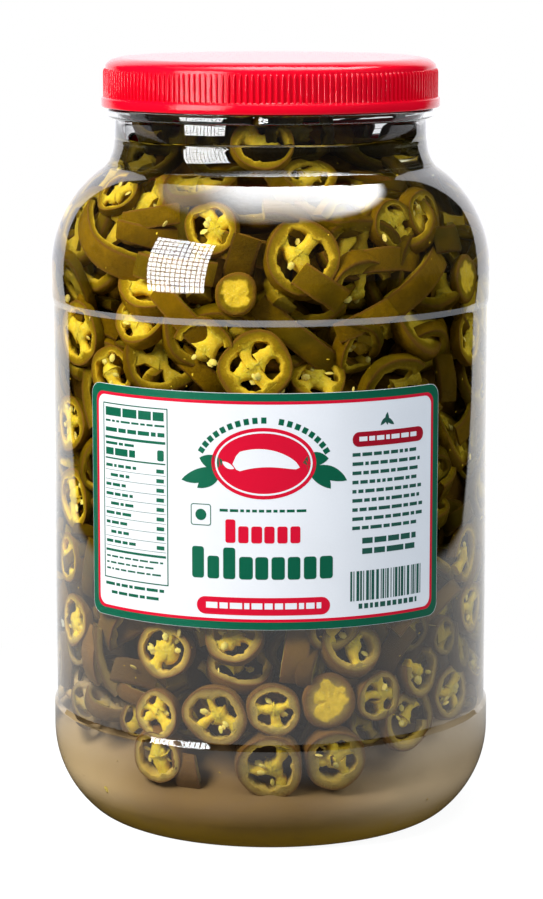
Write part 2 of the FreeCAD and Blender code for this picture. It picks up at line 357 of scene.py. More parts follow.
WHITE, NO_GLOSS = (1, 1, 1), (0, 0, 0)
WALL_TINT, WALL_REFRACTION = (0.985, 0.99, 0.985), 1.57
BRINE_TINT, BRINE_REFRACTION = (0.95, 0.93, 0.66), 1.34
SHADOW_TINT, DIFFUSE_TINT = (0.97, 0.98, 0.96), (0.84, 0.83, 0.78)
MILK_PALE, MILK_DEEP = (0.88, 0.88, 0.9), (0.8, 0.8, 0.82)


def clear_material(name, tint, refraction, specular_tint, ripple, milk=0.0):
    """A clear material that lets shadow and diffuse rays through; a share of it can be milky."""
    shader = Shader(bpy.data.materials.new(name))
    relief = shader.noise(38.0, 2.0) * ripple + shader.noise(900.0, 2.0) * (0.004 * ripple)
    surface = shader.principled(
        Base_Color=tint, IOR=refraction, Roughness=0.0, Transmission_Weight=1.0,
        Specular_Tint=(*specular_tint, 1.0), Normal=shader.bump(relief, 0.001))
    if milk:
        cloud = shader.mix(shader.noise(300.0), MILK_PALE, MILK_DEEP)
        surface = shader.choose(milk, surface, shader.node("BsdfDiffuse", sockets={"Color": cloud}))
    passing = shader.node("BsdfTransparent", sockets={"Color": SHADOW_TINT})
    dimmed = shader.node("BsdfTransparent", sockets={"Color": DIFFUSE_TINT})
    surface = shader.choose(shader.path("Diffuse"), surface, dimmed)
    return shader.finish(shader.choose(shader.path("Shadow"), surface, passing))


def haze_at(shader):
    """How far the fine matter in the brine hides what is at a place: 1 at the base, 0 above the heel.

    The haze drifts up and down a little, and reaches higher at the sides, most of all at the left, where the
    murk is painted lighter.
    """
    across, _, height = shader.parts(shader.place())
    drift = shader.noise(26.0, 3.0) * 0.016 - 0.008
    lifted = ((across * across) ** 0.5).ramp(0.028, 0.066) * 0.026
    lifted = lifted + (1.0 - across.ramp(-0.066, -0.030)) * 0.012
    return 1.0 - (height + drift - lifted).ramp(0.014, 0.062)


# The inside of the wall as the shaders take it: how far in it lies, and the shoulder's parabola
WALL_INSIDE = 1.8 * MM
SHOULDER_FOOT, SHOULDER_REACH, SHOULDER_BEND = 190 * MM, 41 * MM, 13.5


def depth_at(shader):
    """How far a place lies behind the wall of the body, in metres. The shoulder is taken as a parabola."""
    across, along, height = shader.parts(shader.place())
    radius = (across * across + along * along) ** 0.5
    rise = (height - SHOULDER_FOOT).between(0.0, SHOULDER_REACH)
    return JAR_HIGH.x - WALL_INSIDE - rise * rise * SHOULDER_BEND - radius


# Second colours of the slices: cut flesh, webs, skin, and slices that lie low in the jar
OLIVE_BROWN, OLIVE_GREEN = (0.22, 0.135, 0.003), (0.20, 0.14, 0.005)
HEART_DEEP, HEART_FIBRE = (0.68, 0.45, 0.03), (0.97, 0.82, 0.3)
SKIN_WARM, SKIN_GREEN = (0.22, 0.116, 0.002), (0.125, 0.087, 0.003)
SKIN_AMBER, SKIN_SPOTS = (0.33, 0.178, 0.004), (0.11, 0.062, 0.002)
BLEACHED_FLESH, BLEACHED_SKIN = (0.46, 0.33, 0.13), (0.15, 0.068, 0.032)
# Second colours of the mass: its darkest grains, and the settled matter's lumps, grains and painted light at
# the right side
MASS_GRAIN = (0.004, 0.003, 0.001)
SETTLED_LUMPS, SETTLED_GRAIN, SETTLED_RIGHT = (0.22, 0.13, 0.045), (0.3, 0.23, 0.09), (0.55, 0.395, 0.30)
SEED_DARK = (0.55, 0.42, 0.13)


def cut_colour(shader, settings, across, kind, mottle, fibre, blotch):
    """Colour of a cut face: pale webs and core, olive flesh, and a brown line just under the skin."""
    rim = across + (mottle - 0.5) * 0.4 + (fibre - 0.5) * 0.5
    edge = shader.mix(0.35, settings.heart, settings.flesh)
    flesh = shader.mix(rim.ramp(0.06, 0.42), edge, settings.flesh)
    olive = shader.mix(blotch.ramp(0.35, 0.65), OLIVE_BROWN, OLIVE_GREEN)
    flesh = shader.mix(rim.ramp(0.36, 0.72) * 0.9, flesh, olive)
    flesh = shader.mix((across + (fibre - 0.5) * 0.16).ramp(0.64, 0.90), flesh, settings.rim)
    heart = shader.mix(mottle.ramp(0.40, 0.66) * 0.75, settings.heart, HEART_DEEP)
    heart = shader.mix(fibre.ramp(0.56, 0.72) * 0.55, heart, HEART_FIBRE)
    colour = shader.mix((kind + (mottle - 0.5) * 0.3).ramp(0.15, 0.4), flesh, heart)
    return shader.mix(kind.ramp(0.8, 0.95), colour, settings.seed)


def skin_colour(shader, settings, piece, mottle, blotch):
    """Colour of the skin: warmer in blotches, greener on some slices, amber in places, finely spotted."""
    hue = shader.node("Math", {"operation": "FRACT"}, {0: piece * 13.7})
    broad = shader.noise(62.0, 1.0)
    skin = shader.mix(blotch.ramp(0.3, 0.72), settings.skin, SKIN_WARM)
    skin = shader.mix(hue.ramp(0.35, 0.65) * 0.75, skin, SKIN_GREEN)
    skin = shader.mix(broad.ramp(0.46, 0.66) * 0.6, skin, SKIN_AMBER)
    return shader.mix(mottle.ramp(0.3, 0.7) * 0.45, skin, SKIN_SPOTS)


def pepper_material(settings):
    """Skin, flesh, webs and seeds of the slices, told apart by each point's tissue.

    The tissue holds how near the skin a point is, its kind (0 flesh, 0.5 web or core, 1 seed) and
    the slice's shade: a random tone times a painted shadow under the lid. Low slices are bleached,
    far ones get painted shade, slices are painted lighter at the left and darker at the right, and
    the haze veils the lowest.
    """
    shader = Shader(bpy.data.materials.new("Pepper slices"))
    tissue = shader.node("Attribute", {"attribute_name": "tissue"})
    across, kind, piece = shader.parts(tissue)
    mottle = shader.noise(420.0, 4.0, 0.6)
    fibre = shader.noise(1500.0, 3.0, 0.6)
    blotch = shader.noise(110.0, 2.0)
    cut = cut_colour(shader, settings, across, kind, mottle, fibre, blotch)
    skin = skin_colour(shader, settings, piece, mottle, blotch)
    colour = shader.mix((across + (fibre - 0.5) * 0.03).ramp(0.95, 0.985), cut, skin)
    sideways, _, height = shader.parts(shader.place())
    bleached = 1.0 - height.ramp(0.058, 0.098)
    pale = shader.mix((across + (mottle - 0.5) * 0.2).ramp(0.45, 0.90), BLEACHED_FLESH, BLEACHED_SKIN)
    colour = shader.mix(bleached * (1.0 - kind.ramp(0.15, 0.4)) * 0.6, colour, pale)
    # Painted light: slices are painted lighter at the left, towards the key lamp, and darker at the right.
    shade = (0.22 + piece * 0.86) * (1.12 - 0.42 * sideways.ramp(-0.072, 0.072))
    shading = shader.node("CombineXYZ", sockets={0: shade, 1: shade * 0.985, 2: shade * 0.95})
    colour = shader.mix(1.0, colour, shading, "MULTIPLY")
    depth = depth_at(shader)
    # Painted shade: slices that lie further behind the wall are darkened towards the dark mass colour.
    colour = shader.mix(depth.ramp(0.009, 0.028) * 0.75, colour, settings.dark)
    # Painted light: the murk is painted paler towards the left, where the key lamp stands.
    leftwards = (1.0 - sideways.ramp(-0.064, -0.026)) * 0.6
    murk = shader.mix(leftwards, settings.sediment, settings.sediment_pale)
    colour = shader.mix(haze_at(shader) * (0.1 + 0.75 * depth.ramp(0.003, 0.012)), colour, murk)
    relief = mottle * 0.5 + fibre * 0.45 + blotch * 0.4
    return shader.finish(shader.principled(
        Base_Color=colour, Roughness=0.34 + fibre * 0.2, Specular_IOR_Level=0.2,
        Subsurface_Weight=0.4, Subsurface_Radius=(1.0, 0.7, 0.25), Subsurface_Scale=0.0025,
        Normal=shader.bump(relief, 0.0008, 0.8)))


def mass_material(settings):
    """The mass behind the slices: dark with painted shade, and turning to settled matter at the base."""
    shader = Shader(bpy.data.materials.new("Packed mass"))
    lumps = shader.noise(70.0, 4.0, 0.6, 0.6)
    grain = shader.noise(420.0, 4.0, 0.6)
    # Painted shade: the deep mass takes the dark colour, with skin colour in its lumps.
    deep = shader.mix(lumps.ramp(0.42, 0.68) * 0.6, settings.dark, settings.skin)
    deep = shader.mix(grain.ramp(0.45, 0.8) * 0.3, deep, MASS_GRAIN)
    settled = shader.mix(lumps.ramp(0.3, 0.7) * 0.35, settings.sediment, SETTLED_LUMPS)
    settled = shader.mix(grain.ramp(0.6, 0.8) * 0.15, settled, SETTLED_GRAIN)
    across, _, height = shader.parts(shader.place())
    aside = (across * across) ** 0.5
    # Painted light: the settled matter is painted paler towards both sides, and palest at the right.
    settled = shader.mix(aside.ramp(0.030, 0.072) * 0.6, settled, settings.sediment_pale)
    settled = shader.mix(across.ramp(0.008, 0.060), settled, SETTLED_RIGHT)
    foot = height + lumps * 0.006
    settled = shader.mix(1.0 - foot.ramp(0.005, 0.019), settled, settings.sediment_deep)
    haze = haze_at(shader)
    return shader.finish(shader.principled(
        Base_Color=shader.mix(haze, deep, settled), Roughness=0.7 + grain * 0.2, Specular_IOR_Level=0.1,
        Normal=shader.bump((lumps + grain * 0.3) * (1.0 - haze * 0.9), 0.002, 0.7)))


def speck_material(name, light, dark):
    """Seeds and crumbs."""
    shader = Shader(bpy.data.materials.new(name))
    mottle = shader.noise(260.0, 3.0)
    colour = shader.mix(mottle.ramp(0.35, 0.65), light, dark)
    colour = shader.mix(haze_at(shader) * 0.5, colour, dark)
    return shader.finish(shader.principled(
        Base_Color=colour, Roughness=0.4 + mottle * 0.2, Specular_IOR_Level=0.2,
        Normal=shader.bump(shader.noise(1400.0, 2.0), 0.0003)))


def plastic_material(settings):
    """Moulded plastic of the lid."""
    shader = Shader(bpy.data.materials.new("Lid plastic"))
    cloud = shader.noise(45.0, 3.0)
    grain = shader.noise(2600.0, 2.0)
    deeper = tuple(value * 0.86 for value in settings.lid_red)
    colour = shader.mix(cloud.ramp(0.3, 0.7) * 0.6, settings.lid_red, deeper)
    return shader.finish(shader.principled(
        Base_Color=colour, Roughness=0.12 + grain * 0.06, IOR=1.5, Specular_IOR_Level=0.24,
        Normal=shader.bump(grain + cloud * 0.6, 0.00006, 0.6)))


INK_GLOSS, PAPER_GLOSS = 0.42, 0.3


def print_material(name, ink, gloss=INK_GLOSS):
    """Paper or ink: nearly even, with the faint grain of coated paper."""
    shader = Shader(bpy.data.materials.new(name))
    grain = shader.noise(1800.0, 3.0, 0.6)
    cloud = shader.noise(60.0, 2.0)
    paler = tuple(value * 0.94 for value in ink)
    colour = shader.mix(cloud.ramp(0.3, 0.7) * 0.5 + grain.ramp(0.3, 0.7) * 0.3, ink, paler)
    return shader.finish(shader.principled(
        Base_Color=colour, Roughness=gloss + grain * 0.1, Specular_IOR_Level=0.15,
        Normal=shader.bump(grain, 0.00003, 0.6)))


# ---- Outlines and meshes ----

def arc(centre, radius, start, end, pitch=1.6 * MM):
    """Points (radius, height) of an arc round a centre, its angles measured from straight outwards."""
    steps = max(3, ceil(abs(end - start) * abs(radius) / pitch))
    turns = [start + (end - start) * step / steps for step in range(steps + 1)]
    return [(centre[0] + radius * cos(turn), centre[1] + radius * sin(turn)) for turn in turns]


def on_circle(turn, height=0.0):
    """A point of a circle of radius 1, at a height."""
    return Vector((cos(turn), sin(turn), height))


def place_at(radius, turn, height):
    """The place at a radius, a turn round from the front and a height."""
    return radius * sin(turn), -radius * cos(turn), height


def heel_height(jar):
    """Height at which the heel runs on into the lower band."""
    return jar.foot + (jar.heel - jar.foot) * sin(jar.heel_turn)


def shoulder_start(jar):
    """Height at which the shoulder starts to turn in."""
    return heel_height(jar) + jar.lower_band + jar.lower_ramp + jar.panel + jar.upper_ramp + jar.upper_band


def bead_base(jar):
    """Height of the underside of the bead."""
    return shoulder_start(jar) + jar.shoulder_rise


def ramp_ends(low_radius, low_height, high_radius, high_height):
    """The two ends of a ramp between straight walls, each end eased by a second point."""
    ease, inward = 0.3 * MM, 0.05 * MM
    leaning = inward if low_radius > high_radius else -inward
    return [(low_radius, low_height - ease), (low_radius - leaning, low_height + 0.25 * MM),
            (high_radius + leaning, high_height - 0.25 * MM), (high_radius, high_height + ease)]


def wall_line(jar, inset):
    """Outline of the body from the middle of the base to the bead, inset from the outside of the wall."""
    heel_top = heel_height(jar)
    heel = (jar.band - jar.heel, heel_top)
    foot = (heel[0] + (jar.heel - jar.foot) * cos(jar.heel_turn), jar.foot)
    rise = jar.foot_inner - jar.push_up
    dome_radius = (foot[0] ** 2 + rise ** 2 - jar.foot_inner ** 2) / (2 * (jar.foot_inner - rise))
    dome = (0.0, jar.push_up - dome_radius)
    dome_angle = atan2(jar.foot_inner - dome[1], foot[0])
    panel = jar.band - jar.panel_step - inset
    upper = panel + jar.upper_step
    panel_low = heel_top + jar.lower_band + jar.lower_ramp
    panel_high = panel_low + jar.panel
    start_height = shoulder_start(jar)
    shoulder = (upper + inset - jar.shoulder, start_height)
    neck_radius = jar.finish - jar.neck_setback
    base = start_height + jar.shoulder_rise
    start = (neck_radius + jar.fillet * cos(jar.draft), base + jar.fillet * sin(jar.draft))
    offset = (start[0] - shoulder[0], start[1] - shoulder[1])
    half = -offset[0] * sin(jar.draft) + offset[1] * cos(jar.draft)
    reach = jar.shoulder + jar.fillet
    slide = sqrt(half ** 2 - offset[0] ** 2 - offset[1] ** 2 + reach ** 2) - half
    fillet = (start[0] - slide * sin(jar.draft), start[1] + slide * cos(jar.draft))
    meet = atan2(fillet[1] - shoulder[1], fillet[0] - shoulder[0])
    quarter = pi / 2
    return (
        arc(dome, dome_radius + inset, quarter, dome_angle, 4 * MM)
        + arc((foot[0], jar.foot_inner), jar.foot_inner - inset, dome_angle - pi, -quarter)
        + arc(foot, jar.foot - inset, -quarter, -jar.heel_turn)
        + arc(heel, jar.heel - inset, -jar.heel_turn, 0.0)
        + ramp_ends(jar.band - inset, heel_top + jar.lower_band, panel, panel_low)
        + [(panel, panel_low + jar.panel * share) for share in (0.25, 0.5, 0.75)]
        + ramp_ends(panel, panel_high, upper, panel_high + jar.upper_ramp)
        + arc(shoulder, jar.shoulder - inset, 0.0, meet)
        + arc(fillet, jar.fillet + inset, meet + pi, jar.draft + pi)
        + [(neck_radius - inset * cos(jar.draft), base - inset * sin(jar.draft))]
    )


# Places where the outside of the wall is pressed in, as heights and depths in millimetres:
# a crease where the shoulder meets the neck, and a fine ring above it
CREASE = ((224.0, 0.0), (226.15, 0.66), (226.3, 0.7), (226.5, 0.69), (241.5, 0.0))
RING = ((234.85, 0.0), (235.1, 0.16), (235.35, 0.16), (235.6, 0.0))


def pressed(outline, rows):
    """An outline that is pressed in between some heights of its upper part."""
    heights, depths = np.array(rows).T * MM
    side = np.array([spot for spot in outline if spot[1] > heights[0] - 60 * MM])
    between = {float(height) for height in side[:, 1] if heights[0] < height < heights[-1]}
    moved = [(float(np.interp(height, side[:, 1], side[:, 0]) - np.interp(height, heights, depths)), height)
             for height in sorted(between | set(heights.tolist()))]
    below = [spot for spot in outline if spot[1] < heights[0]]
    above = [spot for spot in outline if spot[1] > heights[-1]]
    return below + moved + above


def cleaned(outline, gap=1e-5):
    """An outline without points that repeat the one before."""
    kept = [outline[0]]
    for place in outline[1:]:
        if dist(place, kept[-1]) > gap:
            kept.append(place)
    return kept


def spin(bm, geom, sweep, steps, merge=False, copies=False):
    """Spins parts of a mesh round its upright axis, as a skin or as separate copies."""
    return bmesh.ops.spin(bm, geom=geom, cent=(0, 0, 0), axis=(0, 0, 1), dvec=(0, 0, 0), angle=sweep,
                          space=Matrix.Identity(4), steps=steps, use_merge=merge, use_normal_flip=False,
                          use_duplicate=copies)


def spin_outline(bm, outline, steps, material=0):
    """Spins an outline of (radius, height) points right round the axis."""
    others = set(bm.faces)
    verts = [bm.verts.new((radius, 0.0, height)) for radius, height in outline]
    edges = [bm.edges.new(pair) for pair in zip(verts, verts[1:])]
    spin(bm, verts + edges, tau, steps, merge=True)
    for face in set(bm.faces) - others:
        face.material_index = material


def strip_faces(bm, loops):
    """Joins each closed loop of points to the next one and caps both ends."""
    for near, far in zip(loops, loops[1:]):
        for side in range(len(near)):
            following = (side + 1) % len(near)
            bm.faces.new((near[side], near[following], far[following], far[side]))
    bm.faces.new(loops[0])
    bm.faces.new(loops[-1])


def close_up(bm, gap=1e-6):
    """Merges doubled points and turns every face outwards."""
    bmesh.ops.remove_doubles(bm, verts=bm.verts[:], dist=gap)
    bmesh.ops.recalc_face_normals(bm, faces=bm.faces[:])


def add_piece(bm, name, materials, node=None, sharp=35.0):
    """Makes an object of a mesh, smooth but for its sharp edges; given a node, it rides on the body and hides
    that imported part.
    """
    for face in bm.faces:
        face.smooth = True
    for edge in bm.edges:
        if len(edge.link_faces) == 2 and edge.calc_face_angle() > radians(sharp):
            edge.smooth = False
    mesh = bpy.data.meshes.new(name)
    bm.to_mesh(mesh)
    bm.free()
    for material in materials:
        mesh.materials.append(material)
    piece = bpy.data.objects.new(name, mesh)
    bpy.context.scene.collection.objects.link(piece)
    if node:
        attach(piece, BODY)
        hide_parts(node)
    return piece


def settings_of(context):
    """The sizes and colours of the scene."""
    return context.scene.pepper_jar


# ---- Slices of pepper ----

# Outlines of a slice's ring and of a closed end, with fine ones for the placed slices: how far out,
# and how high as a share of half the thickness
FINE_RIM = ((0.0, -0.62), (0.0, 0.62), (0.16, 0.94), (0.5, 0.9), (0.82, 0.97), (0.93, 0.97), (1.0, 0.7),
            (1.0, -0.7), (0.93, -0.97), (0.82, -0.97), (0.5, -0.9), (0.16, -0.94))
PLAIN_RIM = ((0.0, -0.65), (0.0, 0.65), (0.2, 0.93), (0.82, 0.95), (1.0, 0.75),
             (1.0, -0.75), (0.82, -0.95), (0.2, -0.93))
FINE_TIP = ((0.0, 0.9), (0.25, 0.9), (0.5, 0.92), (0.72, 0.95), (0.84, 0.97), (0.94, 0.95), (1.0, 0.7),
            (1.0, 0.2), (0.96, -0.5), (0.82, -1.2), (0.55, -1.8), (0.25, -2.1), (0.0, -2.15))
PLAIN_TIP = ((0.0, 0.9), (0.45, 0.92), (0.84, 0.97), (0.94, 0.95), (1.0, 0.6), (0.96, -0.5), (0.6, -1.7),
             (0.0, -2.1))
# The webs of each kind, and the size of the core that they meet in, as a share of the radius
WEBS = {"two": 2, "three": 3, "four": 4, "open": 1, "tip": 0, "strip": 0}
CORE_SHARE = {1: 0.22, 2: 0.32, 3: 0.26, 4: 0.17}
# Waves of the skin: how many go round a slice, and their height as a share of the radius
WAVES = ((2, 0.055), (3, 0.035), (4, 0.02), (6, 0.012))
# The kinds of tissue, as the shader reads them
FLESH, WEB, SEED = 0.0, 0.5, 1.0


class Slice:
    """One slice: its kind, size and place, and the random numbers that shape it."""

    def __init__(self, kind, radius, thickness, matrix, seed, fine, share, shade):
        self.kind = kind
        self.radius = radius
        self.thickness = thickness
        self.matrix = matrix
        self.fine = fine
        self.share = share
        self.shade = shade
        self.rng = np.random.default_rng(seed)
        self.draw = self.rng.uniform

    def build(self, settings):
        """The slice's mesh, lying flat at the origin and then put in its place."""
        bm = bmesh.new()
        self.tissue = bm.verts.layers.float_color.new("tissue")
        # A random tone, lower for the packed slices, times the painted shadow under the lid given with the
        # slice.
        self.shade *= self.draw(0.82, 1.0) if self.fine else self.draw(0.25, 0.85)
        self.waves = [(order, self.draw(0.3, 1.0) * size, self.draw(0, tau))
                      for order, size in WAVES]
        self.slant = self.draw(-0.16, 0.16)
        self.bend = self.draw(-0.35, 0.35)
        larger = min(1.15, (self.radius / settings.radius) ** 1.4)
        self.flesh = settings.wall * self.draw(0.88, 1.14) * larger
        if self.kind == "tip":
            self.solid(bm)
        else:
            self.ring(bm)
        count = WEBS[self.kind]
        if count:
            self.webs(bm, count, settings)
        bmesh.ops.recalc_face_normals(bm, faces=bm.faces[:])
        bmesh.ops.transform(bm, matrix=self.matrix, verts=bm.verts[:])
        return bm

    def outline(self, turn):
        """Radius of the skin at a turn round the slice."""
        waves = sum(size * cos(order * turn + shift) for order, size, shift in self.waves)
        return self.radius * (1.0 + waves)

    def lift(self, across, along):
        """How far the slice is warped off its plane at a place."""
        radius = self.radius
        return self.slant * across + self.bend * (across * across - along * along) / radius * 0.35

    def phase(self):
        """A random place in the noise."""
        return Vector((self.draw(0, 50), self.draw(0, 50), 0.0))

    def paint(self, vert, across, kind):
        """Notes the tissue at a point: how near the skin it is, its kind, and the slice's shade, a random tone
        times a painted shadow under the lid.
        """
        vert[self.tissue] = (across, kind, self.shade, 1.0)

    def ring(self, bm):
        """The ring of flesh, whole or cut through, or a strip cut from one."""
        rim = FINE_RIM if self.fine else PLAIN_RIM
        cut = self.draw(0.62, 0.92) if self.share == 1.0 else self.share
        share = {"open": cut, "strip": self.share}.get(self.kind, 1.0)
        sweep = tau * share
        steps = max(6, round((44 if self.fine else 26) * max(share, 0.3)))
        verts = [bm.verts.new((1.0 + across, 0.0, high)) for across, high in rim]
        edges = [bm.edges.new(pair) for pair in zip(verts, verts[1:] + verts[:1])]
        whole = share > 0.999
        spun = spin(bm, verts + edges, sweep, steps, merge=whole)
        if not whole:
            last = [item for item in spun["geom_last"] if isinstance(item, bmesh.types.BMEdge)]
            bmesh.ops.contextual_create(bm, geom=edges)
            bmesh.ops.contextual_create(bm, geom=last)
        count = WEBS[self.kind]
        self.spokes = [tau * (number + self.draw(-0.16, 0.16)) / count + self.draw(0, 0.4)
                       for number in range(count)]
        phase = self.phase()
        for vert in bm.verts:
            across = hypot(vert.co.x, vert.co.y) - 1.0
            turn = atan2(vert.co.y, vert.co.x)
            aside = [remainder(turn - spoke, tau) for spoke in self.spokes]
            swell = sum(exp(-(off / 0.3) ** 2) for off in aside)
            rough = noise.noise(phase + on_circle(turn, vert.co.z * 0.4) * 2.6)
            fringe = noise.noise(phase + on_circle(turn, vert.co.z * 0.3) * 9.0)
            flesh = self.flesh * (1.0 + 0.5 * swell + 0.25 * rough)
            radius = self.outline(turn) - flesh * (1.0 - across) * (1.0 + 0.22 * fringe)
            high = vert.co.z * self.thickness / 2 * (1.0 + 0.1 * rough)
            x, y = radius * cos(turn), radius * sin(turn)
            self.paint(vert, across, FLESH)
            vert.co = (x, y, high + self.lift(x, y))
        if self.kind == "strip":
            middle = sweep / 2
            radius = self.radius - self.flesh / 2
            away = Matrix.Translation((-radius, 0.0, 0.0)) @ Matrix.Rotation(-middle, 4, "Z")
            skin_up = Matrix(((0, 1, 0, 0), (0, 0, 1, 0), (1, 0, 0, 0), (0, 0, 0, 1)))
            bmesh.ops.transform(bm, matrix=skin_up @ away, verts=bm.verts[:])

    def solid(self, bm):
        """The closed end of a pepper: one cut face and a rounded back."""
        rim = FINE_TIP if self.fine else PLAIN_TIP
        spin_outline(bm, rim, 32 if self.fine else 20)
        bmesh.ops.remove_doubles(bm, verts=bm.verts[:], dist=1e-6)
        phase = self.phase()
        for vert in bm.verts:
            out = hypot(vert.co.x, vert.co.y)
            turn = atan2(vert.co.y, vert.co.x)
            rough = noise.noise(phase + on_circle(turn, out) * 1.9)
            back = vert.co.z < 0.75
            heart = min(WEB, max(FLESH, (0.78 + 0.3 * rough - out) * 2.2))
            self.paint(vert, 1.0 if back else out * 0.93, FLESH if back else heart)
            radius = self.outline(turn) * out
            x, y = radius * cos(turn), radius * sin(turn)
            high = vert.co.z * self.thickness / 2 + (0.0 if back else rough * 0.0006)
            vert.co = (x, y, high + self.lift(x, y) * 0.5)

    def webs(self, bm, count, settings):
        """The webs across the hollow, the core where they meet, and the seeds on it."""
        full = 1.0 + 0.45 * (self.matrix.translation.z > UPPER)
        hub = self.radius * self.draw(0.0, 0.16)
        side = self.draw(0, tau)
        middle = Vector((hub * cos(side), hub * sin(side), 0.0))
        core = self.radius * CORE_SHARE[count] * self.draw(0.8, 1.3)
        for spoke in self.spokes:
            reach = self.outline(spoke) - self.flesh * 0.8
            start = on_circle(spoke) * reach
            gap = 0.22 if count == 4 and self.rng.random() < 0.5 else 0.0
            end = middle.lerp(start, gap)
            self.strand(bm, start, end, settings.web * full * self.draw(0.75, 1.3))
        grown = bmesh.ops.create_icosphere(bm, subdivisions=2 if self.fine else 1, radius=1.0)["verts"]
        phase = self.phase()
        stretch = self.draw(0.85, 1.35)
        for vert in grown:
            rough = 1.0 + 0.45 * noise.noise(phase + vert.co * 1.7)
            x, y = vert.co.x * core * rough * stretch, vert.co.y * core * rough
            turned = Matrix.Rotation(side, 2) @ Vector((x, y))
            vert.co = (middle.x + turned.x, middle.y + turned.y,
                       vert.co.z * self.thickness * 0.44 * rough + self.lift(middle.x, middle.y))
            self.paint(vert, 0.2, WEB)
        if self.fine or self.rng.random() < 0.35:
            for _ in range(int(self.rng.integers(2, 8))):
                self.seed(bm, middle, core, settings)

    def strand(self, bm, start, end, width):
        """One web, wide where it leaves the ring and thinner towards the middle."""
        sides, rows = (8, 8) if self.fine else (6, 4)
        away = Vector((-(end - start).y, (end - start).x, 0.0)).normalized()
        bow = self.radius * self.draw(-0.12, 0.12)
        phase = self.phase()
        loops = []
        for row in range(rows + 1):
            share = row / rows
            centre = start.lerp(end, share) + away * bow * sin(pi * share)
            rough = noise.noise(phase + Vector((share * 3.0, 0.0, 0.0)))
            half = width * (0.5 + 0.4 * abs(2 * share - 1) ** 2 + 0.35 * rough)
            tall = self.thickness * (0.45 - 0.07 * sin(pi * share) + 0.06 * rough)
            loop = []
            for side in range(sides):
                turn = tau * (side + 0.5) / sides
                x = copysign(abs(cos(turn)) ** 0.7, cos(turn)) * half
                z = copysign(abs(sin(turn)) ** 0.7, sin(turn)) * tall
                spot = centre + away * x
                vert = bm.verts.new((spot.x, spot.y, z + self.lift(spot.x, spot.y)))
                self.paint(vert, 0.25, WEB)
                loop.append(vert)
            loops.append(loop)
        strip_faces(bm, loops)

    def seed(self, bm, middle, core, settings):
        """A seed that clings to the core."""
        turn = self.draw(0, tau)
        reach = core + self.draw(0.05, 0.22) * self.radius
        spot = middle + on_circle(turn) * reach
        height = self.draw(-0.2, 0.5) * self.thickness
        size = settings.seed_length * self.draw(0.75, 1.0)
        made = bmesh.ops.create_uvsphere(bm, u_segments=6, v_segments=4, radius=0.5)["verts"]
        tip = Matrix.Rotation(self.draw(-0.9, 0.9), 4, "X")
        tip = tip @ Matrix.Rotation(self.draw(-0.5, 0.5), 4, "Y")
        pose = (Matrix.Translation((spot.x, spot.y, height)) @ Matrix.Rotation(turn, 4, "Z") @ tip
                @ Matrix.Diagonal((size, size * 0.75, size * 0.3, 1.0)))
        for vert in made:
            self.paint(vert, 0.2, SEED)
        bmesh.ops.transform(bm, matrix=pose, verts=made)


# ---- Packing the slices ----

